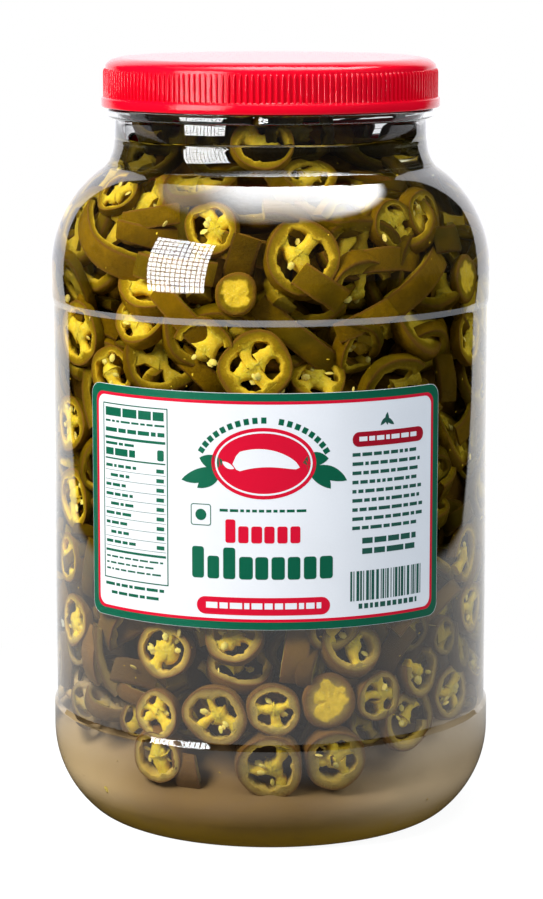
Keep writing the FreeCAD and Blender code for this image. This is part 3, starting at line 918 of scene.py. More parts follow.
# Slices seen at the wall: kind, degrees round from the front, height, radius, depth behind the
# wall, turn to the right, turn upwards, spin, and the share of the ring that is there.
PLACED = (
    ("three", -3.3, 236, 10.6, 1.0, 4, 34, 20, 1.0),
    ("two", 15, 223, 9.0, 6.5, -4, 40, 50, 1.0),
    ("three", 8.3, 199.8, 12.4, 2.6, 4, 20, 30, 1.0),
    ("open", 24, 205.5, 13.5, 5.0, 10, 14, 200, 0.85),
    ("four", 37, 209, 8.6, 1.5, 14, 8, 15, 1.0),
    ("three", 51, 211, 9.0, 1.0, 12, 6, 70, 1.0),
    ("three", -17, 208.5, 8.8, 4.0, 0, 20, 10, 1.0),
    ("tip", -9, 189, 7.0, 0.5, 8, 14, 0, 1.0),
    ("two", -58, 216, 8.0, 3.5, 22, 40, 0, 1.0),
    ("strip", -54, 203, 25.0, 0.5, -4, 0, -24, 0.27),
    ("strip", -37, 211, 20.0, 2.0, 0, 8, 8, 0.19),
    ("strip", -27, 196, 22.0, 2.5, 0, 0, -14, 0.22),
    ("strip", -8, 202, 15.0, 4.5, 0, 6, -6, 0.2),
    ("open", -35, 190, 13.0, 2.5, 4, 52, 120, 0.72),
    ("strip", -24, 181, 22.0, 1.0, 4, 0, -38, 0.2),
    ("three", -38, 178, 9.6, 1.0, 4, 40, 40, 1.0),
    ("open", -18, 171, 10.5, 0.3, 10, 0, 8, 0.42),
    ("strip", 14, 192, 15.0, 0.0, 4, 6, -42, 0.2),
    ("four", -4, 165.5, 12.0, 0.0, 4, 10, 25, 1.0),
    ("strip", 10, 172, 28.0, 3.0, 6, -20, -34, 0.26),
    ("three", 13, 160, 9.2, 2.0, 4, 40, 60, 1.0),
    ("open", 27, 172, 11.0, 4.0, 26, -28, 20, 0.8),
    ("strip", 43, 190, 22.0, 0.5, 0, 8, 36, 0.22),
    ("strip", 35, 197, 21.0, 4.0, 0, 20, -2, 0.22),
    ("open", 25, 190, 12.5, 3.5, 10, -34, 30, 0.6),
    ("strip", 30, 180, 26.0, 1.5, 0, 10, 18, 0.2),
    ("three", -61, 172, 11.6, 0.0, 4, 4, 35, 1.0),
    ("two", -46, 160.5, 9.4, 0.3, 2, 12, 100, 1.0),
    ("tip", 62, 190, 7.8, 1.0, 0, 10, 0, 1.0),
    ("two", 66, 170, 9.4, 0.6, -6, 6, 70, 1.0),
    ("three", -68, 140, 9.8, 0.4, 10, 8, 10, 1.0),
    ("two", -66, 115, 10.4, 0.4, 8, -6, 80, 1.0),
    ("three", -69, 93, 8.8, 0.6, 0, 6, 50, 1.0),
    ("open", 64, 96, 9.8, 0.8, 4, 0, 250, 0.8),
    ("three", 68, 76, 9.2, 0.2, -4, 6, 20, 1.0),
    ("two", -66, 72, 9.0, 0.3, 6, 10, 75, 1.0),
    ("strip", -48, 74, 15.0, 0.5, -12, 0, 62, 0.24),
    ("strip", -58, 62, 16.0, 0.8, -8, 0, 80, 0.22),
    ("two", -29, 69.5, 9.6, 0.0, 4, 4, 65, 1.0),
    ("three", -10, 75, 9.4, 0.6, 2, 24, 90, 1.0),
    ("open", -9, 64, 10.5, 5.0, 6, 52, 100, 0.85),
    ("strip", 6, 70, 20.0, 1.5, 0, 0, 84, 0.16),
    ("two", 22, 71, 10.6, 0.4, 4, 26, 60, 1.0),
    ("open", 43.5, 60, 9.0, 0.6, 6, 4, 160, 0.72),
    ("three", 57, 49, 9.8, 0.8, -4, 8, 30, 1.0),
    ("four", -31, 47.5, 8.3, 0.0, 2, 2, 40, 1.0),
    ("three", -14.5, 49, 10.6, 0.0, 0, 2, 95, 1.0),
    ("three", 0.8, 51.5, 8.8, 0.0, 2, 0, 30, 1.0),
    ("tip", 15.2, 54, 9.2, 0.0, -2, 4, 70, 1.0),
    ("four", 29.2, 53.8, 8.4, 0.0, 4, 4, 0, 1.0),
    ("open", 38.5, 43.5, 10.0, 1.2, 2, 6, 50, 0.84),
    ("two", -31.5, 33.6, 9.2, 0.0, 0, -22, 85, 1.0),
    ("three", -0.3, 32.6, 11.4, 0.0, 2, -20, 170, 1.0),
    ("four", 17.3, 34.4, 10.6, 0.0, 0, -20, 100, 1.0),
    ("strip", -24, 27, 14.0, 3.0, 0, -20, 86, 0.2),
)
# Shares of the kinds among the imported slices, and of the layers that they start in, as depths in millimetres
MIX = (("two", 0.17), ("three", 0.22), ("four", 0.07), ("open", 0.15), ("tip", 0.02), ("strip", 0.37))
LAYERS, LAYER_SHARES = (3.4, 9.0, 14.5), (0.46, 0.3, 0.24)
# How much thicker a strip is than a ring
STRIP_WIDTH = 1.45
# Heights above which the slices lie looser, and above which they stand out of the brine
UPPER, ABOVE_BRINE = 150 * MM, 232.5 * MM
# Gap to the wall, how far behind it the slices may lie, and the lowest and highest that they reach
WALL_GAP, DEEPEST = 0.9 * MM, 21 * MM
LOWEST, HIGHEST = 34 * MM, 249.5 * MM
# Beads that stand for a slice while it is packed, the size that they start with and how fast they grow
BEADS = 9
START_SIZE, GROWTH = 0.55, 0.75
# How far off neighbours are looked for, how far a push overshoots, and how fast deep beads are drawn out
SEARCH, OVERSHOOT, DRAW = 2.3, 1.3, 0.3


class Room:
    """The inside of the jar, as the outline of its wall."""

    def __init__(self, jar):
        line = cleaned(wall_line(jar, jar.wall))
        mouth = jar.finish - jar.finish_wall
        self.line = np.array(line + [(mouth, line[-1][1] + 16 * MM)])
        self.start = self.line[:-1]
        self.step = np.diff(self.line, axis=0)
        self.length = np.linalg.norm(self.step, axis=1)
        unit = self.step / self.length[:, None]
        self.inwards = np.stack((-unit[:, 1], unit[:, 0]), axis=1)
        standing = int(np.argmin(self.line[:, 1]))
        self.side = self.line[standing:]

    def radius(self, height):
        """Inner radius at a height."""
        return float(np.interp(height, self.side[:, 1], self.side[:, 0]))

    def nearest(self, spots):
        """Distance of each spot from the wall and the direction away from it, for an array of places."""
        radius = np.hypot(spots[:, 0], spots[:, 1])
        flat = np.stack((radius, spots[:, 2]), axis=1)
        offset = flat[:, None, :] - self.start[None]
        share = np.clip((offset * self.step).sum(-1) / (self.length ** 2), 0.0, 1.0)
        away = offset - share[..., None] * self.step
        best = np.argmin((away ** 2).sum(-1), axis=1)
        inwards = self.inwards[best]
        distance = (away[np.arange(len(best)), best] * inwards).sum(-1)
        safe = np.maximum(radius, 1e-6)
        push = (inwards[:, 0] * spots[:, 0] / safe, inwards[:, 0] * spots[:, 1] / safe, inwards[:, 1])
        return distance, np.stack(push, axis=1)

    def hold(self, bm, gap=0.3 * MM):
        """Presses the parts of a mesh that reach into the wall flat against it."""
        spots = np.array([tuple(vert.co) for vert in bm.verts])
        away, inwards = self.nearest(spots)
        moved = spots + inwards * np.maximum(gap - away, 0.0)[:, None]
        for vert, spot in zip(bm.verts, moved):
            vert.co = spot


def facing(turn, yaw, pitch, roll):
    """Rotation of a slice that looks outwards at a turn round the jar, then right, up and round."""
    out = Vector((sin(turn), -cos(turn), 0.0))
    across = Vector((cos(turn), sin(turn), 0.0))
    up = out.cross(across)
    rotation = Matrix((across, up, out)).transposed()
    for amount, axis in ((yaw, "Y"), (-pitch, "X"), (roll, "Z")):
        rotation = rotation @ Matrix.Rotation(amount, 3, axis)
    return rotation


def bead_offsets(kind, radius, thickness, share):
    """Centres of the beads that stand for a slice while it is packed, and their radius."""
    if kind == "strip":
        turns = np.linspace(-0.5, 0.5, BEADS) * tau * share
        bow = np.stack((radius * np.sin(turns), 0 * turns, radius * (np.cos(turns) - 1)), axis=1)
        return bow, thickness * 0.4
    turns = np.arange(BEADS - 1) * tau / (BEADS - 1)
    reach = radius - thickness / 2
    ring = np.stack((reach * np.cos(turns), reach * np.sin(turns), 0 * turns), axis=1)
    return np.vstack((ring, np.zeros((1, 3)))), thickness / 2


def touching(spots, owner, reach):
    """Pairs of beads of different slices that lie within reach of each other."""
    tree = kdtree.KDTree(len(spots))
    for index, spot in enumerate(spots):
        tree.insert(spot, index)
    tree.balance()
    first, second = [], []
    for index, spot in enumerate(spots):
        for _, other, _ in tree.find_range(spot, reach):
            if other > index and owner[other] != owner[index]:
                first.append(index)
                second.append(other)
    return np.array(first), np.array(second)


def mean_push(spots, first, second, bead_size, grown, free):
    """Mean push on each bead from the beads that it overlaps; beside a held bead it takes all of it."""
    gap = spots[first] - spots[second]
    distance = np.linalg.norm(gap, axis=1) + 1e-9
    overlap = (bead_size[first] + bead_size[second]) * grown - distance
    near = overlap > 0
    one, two = first[near], second[near]
    move = gap[near] * (overlap[near] / distance[near] * 0.5)[:, None]
    both = (free[one] & free[two])[:, None]
    move = np.where(both, move, 2 * move)
    shift = np.zeros_like(spots)
    for axis in range(3):
        shift[:, axis] = np.bincount(one, move[:, axis], len(spots))
        shift[:, axis] -= np.bincount(two, move[:, axis], len(spots))
    hits = np.bincount(one, minlength=len(spots)) + np.bincount(two, minlength=len(spots))
    return shift / np.maximum(hits, 1)[:, None]


def best_turns(moved, shapes):
    """Rotations that best lay each slice's own shape over its moved beads."""
    left, _, right = np.linalg.svd(np.einsum("nki,nkj->nij", moved, shapes))
    flip = np.linalg.det(left @ right) < 0
    left[flip, :, 2] *= -1
    return left @ right


def push_apart(centres, turns, offsets, sizes, fixed, room, rounds):
    """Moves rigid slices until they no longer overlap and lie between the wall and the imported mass."""
    count = len(centres)
    owner = np.repeat(np.arange(count), BEADS)
    free = np.repeat(~fixed, BEADS)
    bead_size = np.repeat(sizes, BEADS)
    spots = (np.einsum("nij,nkj->nki", turns, offsets) + centres[:, None]).reshape(-1, 3)
    held = spots.copy()
    middle = offsets.mean(axis=1, keepdims=True)
    shapes = offsets - middle
    for step in range(rounds):
        grown = min(1.0, START_SIZE + GROWTH * step / rounds)
        if step % 5 == 0:
            first, second = touching(spots, owner, SEARCH * float(sizes.max()))
        spots += mean_push(spots, first, second, bead_size, grown, free) * OVERSHOOT
        away, inwards = room.nearest(spots)
        short = np.maximum(bead_size + WALL_GAP - away, 0.0)
        far = np.maximum(away - (DEEPEST - bead_size), 0.0) * DRAW
        spots += inwards * (short - far)[:, None]
        spots[:, 2] = np.clip(spots[:, 2], LOWEST + bead_size, HIGHEST - bead_size)
        beads = spots.reshape(count, BEADS, 3)
        centre = beads.mean(axis=1, keepdims=True)
        turns = np.where(fixed[:, None, None], turns, best_turns(beads - centre, shapes))
        spots = (np.einsum("nij,nkj->nki", turns, shapes) + centre).reshape(-1, 3)
        away, inwards = room.nearest(spots)
        short = (bead_size + WALL_GAP - away).reshape(count, BEADS)
        worst = inwards.reshape(count, BEADS, 3)[np.arange(count), np.argmax(short, axis=1)]
        push = worst * np.maximum(short.max(axis=1), 0.0)[:, None]
        spots += np.repeat(push, BEADS, axis=0)
        spots = np.where(free[:, None], spots, held)
    solved = spots.reshape(count, BEADS, 3).mean(axis=1) - np.einsum("nij,nj->ni", turns, middle[:, 0])
    return solved, turns


def guards(rows):
    """Stand-ins in front of the placed slices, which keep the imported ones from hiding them.

    Under the shoulder they also stand higher, as it slopes.
    """
    made = []
    for kind, radius, thickness, share, spot, rotation in rows:
        out = np.array((spot[0], spot[1], 0.0)) / hypot(spot[0], spot[1])
        lift = np.array((0.0, 0.0, 0.35 if spot[2] > 192 * MM else 0.0))
        for step in (0.75, 1.5):
            made.append((kind, radius, thickness, share, spot + (out + lift) * step * thickness, rotation))
    return made


def scattered(settings, room, rng):
    """Kinds, sizes and first places of the slices that are packed round the placed ones."""
    rows = []
    kinds = [kind for kind, _ in MIX]
    shares = np.array([share for _, share in MIX])
    low, high = 42 * MM, 240 * MM
    heights = np.linspace(low, high, 400)
    weights = np.array([room.radius(height) for height in heights])
    weights /= weights.sum()
    taken = np.zeros((0, 3))
    for _ in range(settings.slices.packed):
        kind = str(rng.choice(kinds, p=shares / shares.sum()))
        best = None
        for _ in range(10):
            height = float(rng.choice(heights, p=weights))
            turn = rng.uniform(-pi, pi)
            depth = float(rng.choice(LAYERS, p=LAYER_SHARES)) * MM + rng.uniform(-1, 1) * MM
            spot = np.array(place_at(room.radius(height) - depth, turn, height))
            clear = np.min(np.linalg.norm(taken - spot, axis=1)) if len(taken) else 1.0
            if best is None or clear > best[0]:
                best = (clear, spot, turn, depth)
        _, spot, turn, depth = best
        taken = np.vstack((taken, spot))
        upper = spot[2] > UPPER
        flat = rng.random() < ((0.28 if upper else 0.5) if depth < 6 * MM else 0.3)
        tilt = rng.normal(0, 0.35) if flat else rng.uniform(0.7, 1.5) * rng.choice((-1, 1))
        aside = rng.normal(0, 0.35) if flat else rng.normal(0, 0.8)
        larger = 1.25 if upper else 0.96
        radius = float(np.clip(rng.normal(9.8, 1.7), 6.6, 13.5)) * MM * larger
        thickness = float(np.clip(rng.normal(1.0, 0.14), 0.75, 1.35)) * settings.slices.thickness
        share = 1.0
        if kind == "strip":
            radius = rng.uniform(14, 26) * MM
            share = rng.uniform(17, 31) * MM / (tau * radius)
            thickness *= STRIP_WIDTH
            tilt, aside = rng.normal(0, 0.3), rng.normal(0, 0.3)
        rotation = facing(turn, aside, tilt, rng.uniform(0, tau))
        rows.append((kind, radius, thickness, share, spot, rotation))
    return rows


def placed_rows(settings, room):
    """The placed slices, each moved inwards until it lies clear of the wall."""
    rows = []
    for number, (kind, turn, height, radius, depth, yaw, pitch, roll, share) in enumerate(PLACED):
        turn, height, radius = radians(turn), height * MM, radius * MM
        thickness = settings.slices.thickness * (0.9 + 0.25 * ((number * 7) % 5) / 5)
        thickness *= STRIP_WIDTH if kind == "strip" else 1.0
        rotation = facing(turn, *(radians(amount) for amount in (yaw, pitch, roll)))
        offsets, size = bead_offsets(kind, radius, thickness, share)
        reach = room.radius(height) - size
        out = np.array((sin(turn), -cos(turn), 0.0))
        spot = out * reach + np.array((0.0, 0.0, height))
        for _ in range(6):
            beads = offsets @ np.array(rotation).T + spot
            away, _ = room.nearest(beads)
            spot = spot - out * (size + 0.3 * MM - float(away.min()))
        rows.append((kind, radius, thickness, share, spot - out * depth * MM, rotation))
    return rows


def arranged_slices(settings):
    """Every slice in its final place."""
    rng = np.random.default_rng(11)
    room = Room(settings.jar)
    placed = placed_rows(settings, room)
    ahead = guards(placed)
    rows = placed + ahead + scattered(settings, room, rng)
    offsets, sizes = zip(*(bead_offsets(kind, radius, thickness, share)
                           for kind, radius, thickness, share, _, _ in rows))
    centres = np.array([spot for *_, spot, _ in rows])
    turns = np.array([np.array(rotation) for *_, rotation in rows])
    fixed = np.arange(len(rows)) < len(placed) + len(ahead)
    rounds = settings.slices.rounds
    centres, turns = push_apart(centres, turns, np.array(offsets), np.array(sizes), fixed, room, rounds)
    slices = []
    for number, (kind, radius, thickness, share, _, _) in enumerate(rows):
        if fixed[number] and number >= len(placed):
            continue
        matrix = Matrix.Translation(centres[number]) @ Matrix(turns[number].tolist()).to_4x4()
        fine = number < len(placed)
        # Painted shadow under the lid: slices are darkened between 214 and 228 mm, the packed ones most and
        # the first placed one not at all.
        dimmest = -0.25
        if fine:
            dimmest = 1.0 if number == 0 else 0.5
        shade = float(np.interp(centres[number][2], (214 * MM, 228 * MM), (1.0, dimmest)))
        slices.append(Slice(kind, radius, thickness, matrix, 1000 + number, fine, share, shade))
    return slices


# ---- The pieces ----

class PEPPER_JAR_OT_wall(bpy.types.Operator):
    """Blown clear jar with its finish and its notched bead"""
    bl_idname = "pepper_jar.wall"
    bl_label = "Jar wall"
    bl_options = {"REGISTER", "UNDO"}

    def execute(self, context):
        jar = settings_of(context).jar
        bm = bmesh.new()
        base = bead_base(jar)
        top = base + jar.bead_height
        stand = jar.finish + jar.bead_stand
        quarter = pi / 2
        outside = pressed(pressed(wall_line(jar, 0.0), CREASE), RING)
        rounding, fine = jar.bead_round, 0.4 * MM
        bead = (arc((stand - rounding, base + rounding), rounding, -quarter, 0.0, fine)
                + arc((stand - rounding, top - rounding), rounding, 0.0, quarter, fine))
        mouth = JAR_HIGH.z
        lip = 0.5 * MM
        inner = jar.finish - jar.finish_wall
        finish = [(jar.finish, top), (jar.finish, mouth - lip), (jar.finish - lip, mouth),
                  (inner + lip, mouth), (inner, mouth - lip), (inner, top)]
        inside = list(reversed(wall_line(jar, jar.wall)))
        waterline = next(index for index, spot in enumerate(inside) if spot[1] < BRINE_HIGH.z)
        dry = cleaned(outside + bead + finish + inside[:waterline + 1])
        spin_outline(bm, dry, jar.steps)
        spin_outline(bm, cleaned(inside[waterline:]), jar.steps, material=1)
        close_up(bm)
        low = shoulder_start(jar) - jar.upper_band - jar.upper_ramp
        for face in bm.faces:
            middle = face.calc_center_median()
            outer = hypot(middle.x, middle.y) > jar.band - jar.panel_step - 0.1 * MM
            if outer and low < middle.z < low + jar.upper_ramp:
                face.material_index = 2
        self.notch(bm, jar, base, top)
        add_piece(bm, "jar_wall", (
            clear_material("Clear wall", WALL_TINT, WALL_REFRACTION, WHITE, 0.02),
            clear_material("Wet inside of the wall", WALL_TINT, WALL_REFRACTION, NO_GLOSS, 0.02),
            clear_material("Satin ramp of the wall", WALL_TINT, WALL_REFRACTION, WHITE, 0.02, milk=0.17),
        ), "jar")
        return {"FINISHED"}

    def notch(self, bm, jar, base, top):
        """Presses the bead in over the width of its notch."""
        half = jar.notch / 2 / jar.finish
        step = tau / jar.steps
        for vert in bm.verts:
            radius = hypot(vert.co.x, vert.co.y)
            if radius < jar.finish + 0.1 * MM or not base - 1e-5 < vert.co.z < top + 1e-5:
                continue
            turn = atan2(vert.co.x, -vert.co.y)
            off = remainder(turn - jar.notch_turn, tau)
            if abs(off) < half + step:
                inside = abs(off) <= half
                turn = turn if inside else jar.notch_turn + copysign(half + 0.25 * step, off)
                radius = jar.finish + 0.05 * MM if inside else radius
                vert.co.x, vert.co.y = radius * sin(turn), -radius * cos(turn)


class PEPPER_JAR_OT_brine(bpy.types.Operator):
    """Brine up to its level, with its edge drawn up the wall"""
    bl_idname = "pepper_jar.brine"
    bl_label = "Brine"
    bl_options = {"REGISTER", "UNDO"}

    def execute(self, context):
        settings = settings_of(context)
        jar, brine = settings.jar, settings.brine
        level = BRINE_HIGH.z
        wall = wall_line(jar, jar.wall - brine.into_wall)[:-1]
        side = [spot for spot in wall if spot[1] < level + brine.climb]
        rim = side[-1][0]
        steps = 8
        edge = [(rim - brine.climb_width * share / steps, level + brine.climb * (1 - share / steps) ** 2.4)
                for share in range(1, steps + 1)]
        surface = [(edge[-1][0] * share, level) for share in (0.8, 0.6, 0.4, 0.2, 0.0)]
        bm = bmesh.new()
        spin_outline(bm, cleaned(side + edge + surface), brine.steps)
        close_up(bm)
        # The edge waves a little, and stands higher at the right
        for vert in bm.verts:
            radius = hypot(vert.co.x, vert.co.y)
            if vert.co.z > level - 3 * MM and radius > 0.3 * rim:
                turn = atan2(vert.co.x, -vert.co.y)
                wave = noise.noise(on_circle(turn, 3.0) * 2.2) * brine.ripple
                raised = 0.45 * MM * (tanh((turn - 0.62) / 0.15) - tanh((turn - 2.2) / 0.2))
                outer = max(0.0, (radius / rim - 0.3) / 0.7) ** 3
                near = outer * min(1.0, (vert.co.z - level + 3 * MM) / (3 * MM))
                vert.co.z += (wave + raised) * near
        add_piece(bm, "brine_body", (
            clear_material("Brine", BRINE_TINT, BRINE_REFRACTION, NO_GLOSS, 0.03),), "brine")
        return {"FINISHED"}


class PEPPER_JAR_OT_mass(bpy.types.Operator):
    """Mass behind the slices, dark with painted shade, and the matter settled at the base"""
    bl_idname = "pepper_jar.mass"
    bl_label = "Packed mass"
    bl_options = {"REGISTER", "UNDO"}

    def execute(self, context):
        settings = settings_of(context)
        core = settings.slices.core
        room = Room(settings.jar)
        # Close to the wall at the foot, then in to the core's side, and drawn in under the shoulder
        inner = wall_line(settings.jar, settings.jar.wall + WALL_GAP)
        outline = [spot for spot in inner if spot[1] < 12 * MM]
        for height, depth in ((16, 2.0), (20, 5.0), (24, 9.0), (30, 15.0), (36, 19.0)):
            outline.append((room.radius(height * MM) - depth * MM, height * MM))
        outline += [(core + 4 * MM, 46 * MM), (core + 7 * MM, 60 * MM)]
        outline += [(core + 7 * MM, height * MM) for height in range(66, 188, 6)]
        outline += [(core + further * MM, height * MM) for further, height in
                    ((5, 192), (0, 200), (-8, 210), (-14, 220), (-16, 229), (-22, 233))]
        outline += [(12 * MM, 234 * MM), (0.0, 234 * MM)]
        bm = bmesh.new()
        spin_outline(bm, outline, 120)
        close_up(bm)
        for vert in bm.verts:
            push = noise.fractal(vert.co * 75.0, 1.0, 2.0, 3) * 3.4 * MM
            settled = min(1.0, max(0.0, (vert.co.z - 22 * MM) / (14 * MM)))
            out = Vector((vert.co.x, vert.co.y, 0.0)).normalized()
            vert.co += out * push * (0.12 + 0.88 * settled)
        add_piece(bm, "contents_core", (mass_material(settings),), "brine", sharp=80)
        self.heap()
        return {"FINISHED"}

    def heap(self):
        """The mass under the slices that stand out of the brine, as radii and heights in millimetres."""
        bm = bmesh.new()
        outline = ((0, 232), (28, 232), (37, 233), (41, 236), (38, 240), (28, 243), (14, 244.5), (0, 245))
        spin_outline(bm, [(radius * MM, height * MM) for radius, height in outline], 72)
        close_up(bm)
        for vert in bm.verts:
            vert.co.z += noise.noise(vert.co * 110.0) * 1.6 * MM
        add_piece(bm, "heap_core", (bpy.data.materials["Packed mass"],), "slices_top", sharp=80)


class PEPPER_JAR_OT_slices(bpy.types.Operator):
    """Slices of pepper, packed between the wall and the mass behind them"""
    bl_idname = "pepper_jar.slices"
    bl_label = "Slices"
    bl_options = {"REGISTER", "UNDO"}

    def execute(self, context):
        settings = settings_of(context)
        material = pepper_material(settings)
        room = Room(settings.jar)
        groups = {}
        for item in arranged_slices(settings):
            name = "slices_at_wall" if item.fine else f"slices_{item.kind}"
            if item.matrix.translation.z > ABOVE_BRINE:
                name = "slices_above_brine"
            whole = groups.setdefault(name, bmesh.new())
            part = item.build(settings.slices)
            room.hold(part)
            mesh = bpy.data.meshes.new("part")
            part.to_mesh(mesh)
            part.free()
            whole.from_mesh(mesh)
            bpy.data.meshes.remove(mesh)
        for name, whole in sorted(groups.items()):
            node = "slices_top" if name == "slices_above_brine" else "brine"
            add_piece(whole, name, (material,), node, sharp=62)
        return {"FINISHED"}


class PEPPER_JAR_OT_specks(bpy.types.Operator):
    """Loose seeds and crumbs of flesh afloat near the wall"""
    bl_idname = "pepper_jar.specks"
    bl_label = "Seeds and crumbs"
    bl_options = {"REGISTER", "UNDO"}

    def execute(self, context):
        settings = settings_of(context)
        room = Room(settings.jar)
        rng = np.random.default_rng(23)
        seeds = bmesh.new()
        for _ in range(settings.slices.seeds):
            size = settings.slices.seed_length * rng.uniform(0.7, 1.05)
            shape = Matrix.Diagonal((size, size * 0.78, size * 0.28, 1.0))
            pose = self.pose(room, rng, rng.uniform(1.2, 3.4) * MM, size / 2)
            bmesh.ops.create_uvsphere(seeds, u_segments=8, v_segments=5, radius=0.5, matrix=pose @ shape)
        crumbs = bmesh.new()
        for _ in range(settings.slices.crumbs):
            size = rng.uniform(0.22, 0.8) * MM
            shape = Matrix.Diagonal((size * rng.uniform(0.8, 1.8), size, size * 0.5, 1.0))
            pose = self.pose(room, rng, rng.uniform(0.9, 2.2) * MM, size)
            bmesh.ops.create_icosphere(crumbs, subdivisions=1, radius=0.5, matrix=pose @ shape)
        seed = speck_material("Seed", settings.seed, SEED_DARK)
        crumb = speck_material("Crumb", settings.heart, settings.flesh)
        add_piece(seeds, "seeds", (seed,), "brine")
        add_piece(crumbs, "crumbs", (crumb,), "brine")
        return {"FINISHED"}

    def pose(self, room, rng, depth, reach):
        """A random place just behind the wall, and a random turn."""
        height = rng.uniform(8, 232) * MM
        turn = rng.uniform(-pi, pi)
        spot = np.array(place_at(room.radius(height) - depth, turn, height))
        away, inwards = room.nearest(spot[None])
        spot = Vector(spot + inwards[0] * (max(depth, reach) + 0.4 * MM - away[0]))
        aside = [Matrix.Rotation(rng.uniform(0, tau), 4, axis) for axis in "XYZ"]
        return Matrix.Translation(spot) @ aside[0] @ aside[1] @ aside[2]


# A rib's rounded crest: across as a share of half its width, and out as a share of its height
RIB_CREST = ((-1.0, 0.0), (-0.72, 0.72), (-0.34, 1.0), (0.34, 1.0), (0.72, 0.72), (1.0, 0.0))


class PEPPER_JAR_OT_lid(bpy.types.Operator):
    """Moulded screw lid and its ribs"""
    bl_idname = "pepper_jar.lid"
    bl_label = "Lid"
    bl_options = {"REGISTER", "UNDO"}

    def execute(self, context):
        settings = settings_of(context)
        lid = settings.lid
        top, bottom = LID_HIGH.z, LID_LOW.z
        side, lip = lid.wall_radius, lid.wall_radius + lid.lip_overhang
        under = top - lid.plate
        lip_top = bottom + lid.lip_height
        flat = side - lid.edge_width
        edge = [(flat + lid.edge_width * cos(turn), top - lid.edge_drop * (1 - sin(turn)))
                for turn in np.linspace(0, pi / 2, 12)]
        hollow = [(0.0, under), (lid.bore - 1 * MM, under), (lid.bore, under - 1 * MM), (lid.bore, bottom)]
        bevel, overhang = lid.lip_bevel, lid.lip_overhang
        rim = [(lip - bevel, bottom), (lip - bevel * 0.3, bottom + bevel * 0.3), (lip, bottom + bevel),
               (lip, lip_top - overhang * 0.8), (lip - 0.15 * MM, lip_top - overhang * 0.5),
               (side + 0.2 * MM, lip_top - 0.05 * MM), (side, lip_top + 0.15 * MM)]
        plate = [(flat * share, top) for share in (0.75, 0.5, 0.25, 0.0)]
        material = plastic_material(settings)
        bm = bmesh.new()
        spin_outline(bm, hollow + rim + edge + plate, 240)
        close_up(bm)
        add_piece(bm, "lid_shell", (material,), "lid", sharp=28)
        add_piece(self.ribs(lid, top, lip_top), "lid_ribs", (material,), "lid", sharp=50)
        return {"FINISHED"}

    def ribs(self, lid, top, lip_top):
        """One rounded rib, and copies of it all round."""
        high = top - lid.edge_drop - lid.rib_gap
        low = lip_top - lid.lip_overhang / 2
        buried = lid.wall_radius - 0.5 * MM
        bm = bmesh.new()
        loops = []
        for height, stand in ((low, 1.0), (high - 1.4 * MM, 1.0), (high - 0.5 * MM, 0.75), (high, 0.0)):
            loop = []
            for share, out in RIB_CREST:
                reach = lid.rib_height * out * stand
                foot = lid.rib_width / 2 * share
                loop.append(bm.verts.new((foot, -(lid.wall_radius + reach), height)))
            loop.append(bm.verts.new((lid.rib_width / 2, -buried, height)))
            loop.append(bm.verts.new((-lid.rib_width / 2, -buried, height)))
            loops.append(loop)
        strip_faces(bm, loops)
        bmesh.ops.recalc_face_normals(bm, faces=bm.faces[:])
        whole = bm.verts[:] + bm.edges[:] + bm.faces[:]
        spin(bm, whole, tau * (lid.ribs - 1) / lid.ribs, lid.ribs - 1, copies=True)
        return bm


# ---- The label: shapes are laid out flat, in millimetres from its lower left corner ----

def box_shape(left, low, right, high, radius=0.0, steps=5):
    """A rectangle, its corners rounded if a radius is given."""
    if radius <= 0:
        return [(left, low), (right, low), (right, high), (left, high)]
    corners = ((right - radius, low + radius, -90), (right - radius, high - radius, 0),
               (left + radius, high - radius, 90), (left + radius, low + radius, 180))
    shape = []
    for x, y, start in corners:
        for step in range(steps + 1):
            turn = radians(start + 90 * step / steps)
            shape.append((x + radius * cos(turn), y + radius * sin(turn)))
    return shape


def oval_shape(x, y, across, up, steps):
    """An ellipse."""
    return [(x + across * cos(tau * step / steps), y + up * sin(tau * step / steps))
            for step in range(steps)]


def leaf_shape(x, y, long, wide, turn, steps=10):
    """A pointed leaf that starts at a place and grows at a turn."""
    upper = [(long * step / steps, wide * sin(pi * step / steps) ** 0.8)
             for step in range(steps + 1)]
    lower = [(along, -0.6 * out) for along, out in reversed(upper[1:-1])]
    sine, cosine = sin(radians(turn)), cos(radians(turn))
    return [(x + along * cosine - out * sine, y + along * sine + out * cosine)
            for along, out in upper + lower]


def pod_shape(x, y, long, wide, steps=18):
    """A pepper lying on its side, thick at the stalk and bent to a blunt tip."""
    upper, lower = [], []
    for step in range(steps + 1):
        share = step / steps
        along = x + long * (share - 0.5)
        bend = y + wide * (0.5 - 1.6 * (share - 0.45) ** 2)
        half = wide * 0.5 * min(1.0, (share * 9) ** 0.5) * (1.0 - share ** 2.6) ** 0.5
        upper.append((along, bend + half))
        lower.append((along, bend - half))
    return upper + list(reversed(lower))[1:-1]


def text_rows(rng, left, right, high, rows, pitch, size, words=(1.6, 6.0), ragged=0.0):
    """Rows of short bars that stand for small print."""
    shapes = []
    for row in range(rows):
        top = high - row * pitch
        x = left
        end = right - rng.uniform(0, ragged)
        while x < end - 0.8:
            width = min(float(rng.uniform(*words)), end - x)
            shapes.append(box_shape(x, top - size, x + width, top))
            x += width + 0.7
    return shapes


def headline(rng, left, right, low, high, blocks):
    """Blocks of uneven height that stand for large print."""
    shapes = []
    pitch = (right - left) / blocks
    for block in range(blocks):
        x = left + block * pitch
        tall = high if block == 0 or rng.random() < 0.3 else low + (high - low) * 0.72
        width = pitch * rng.uniform(0.74, 0.86)
        shapes.append(box_shape(x, low, x + width, tall, 0.22 * width, 3))
    return shapes


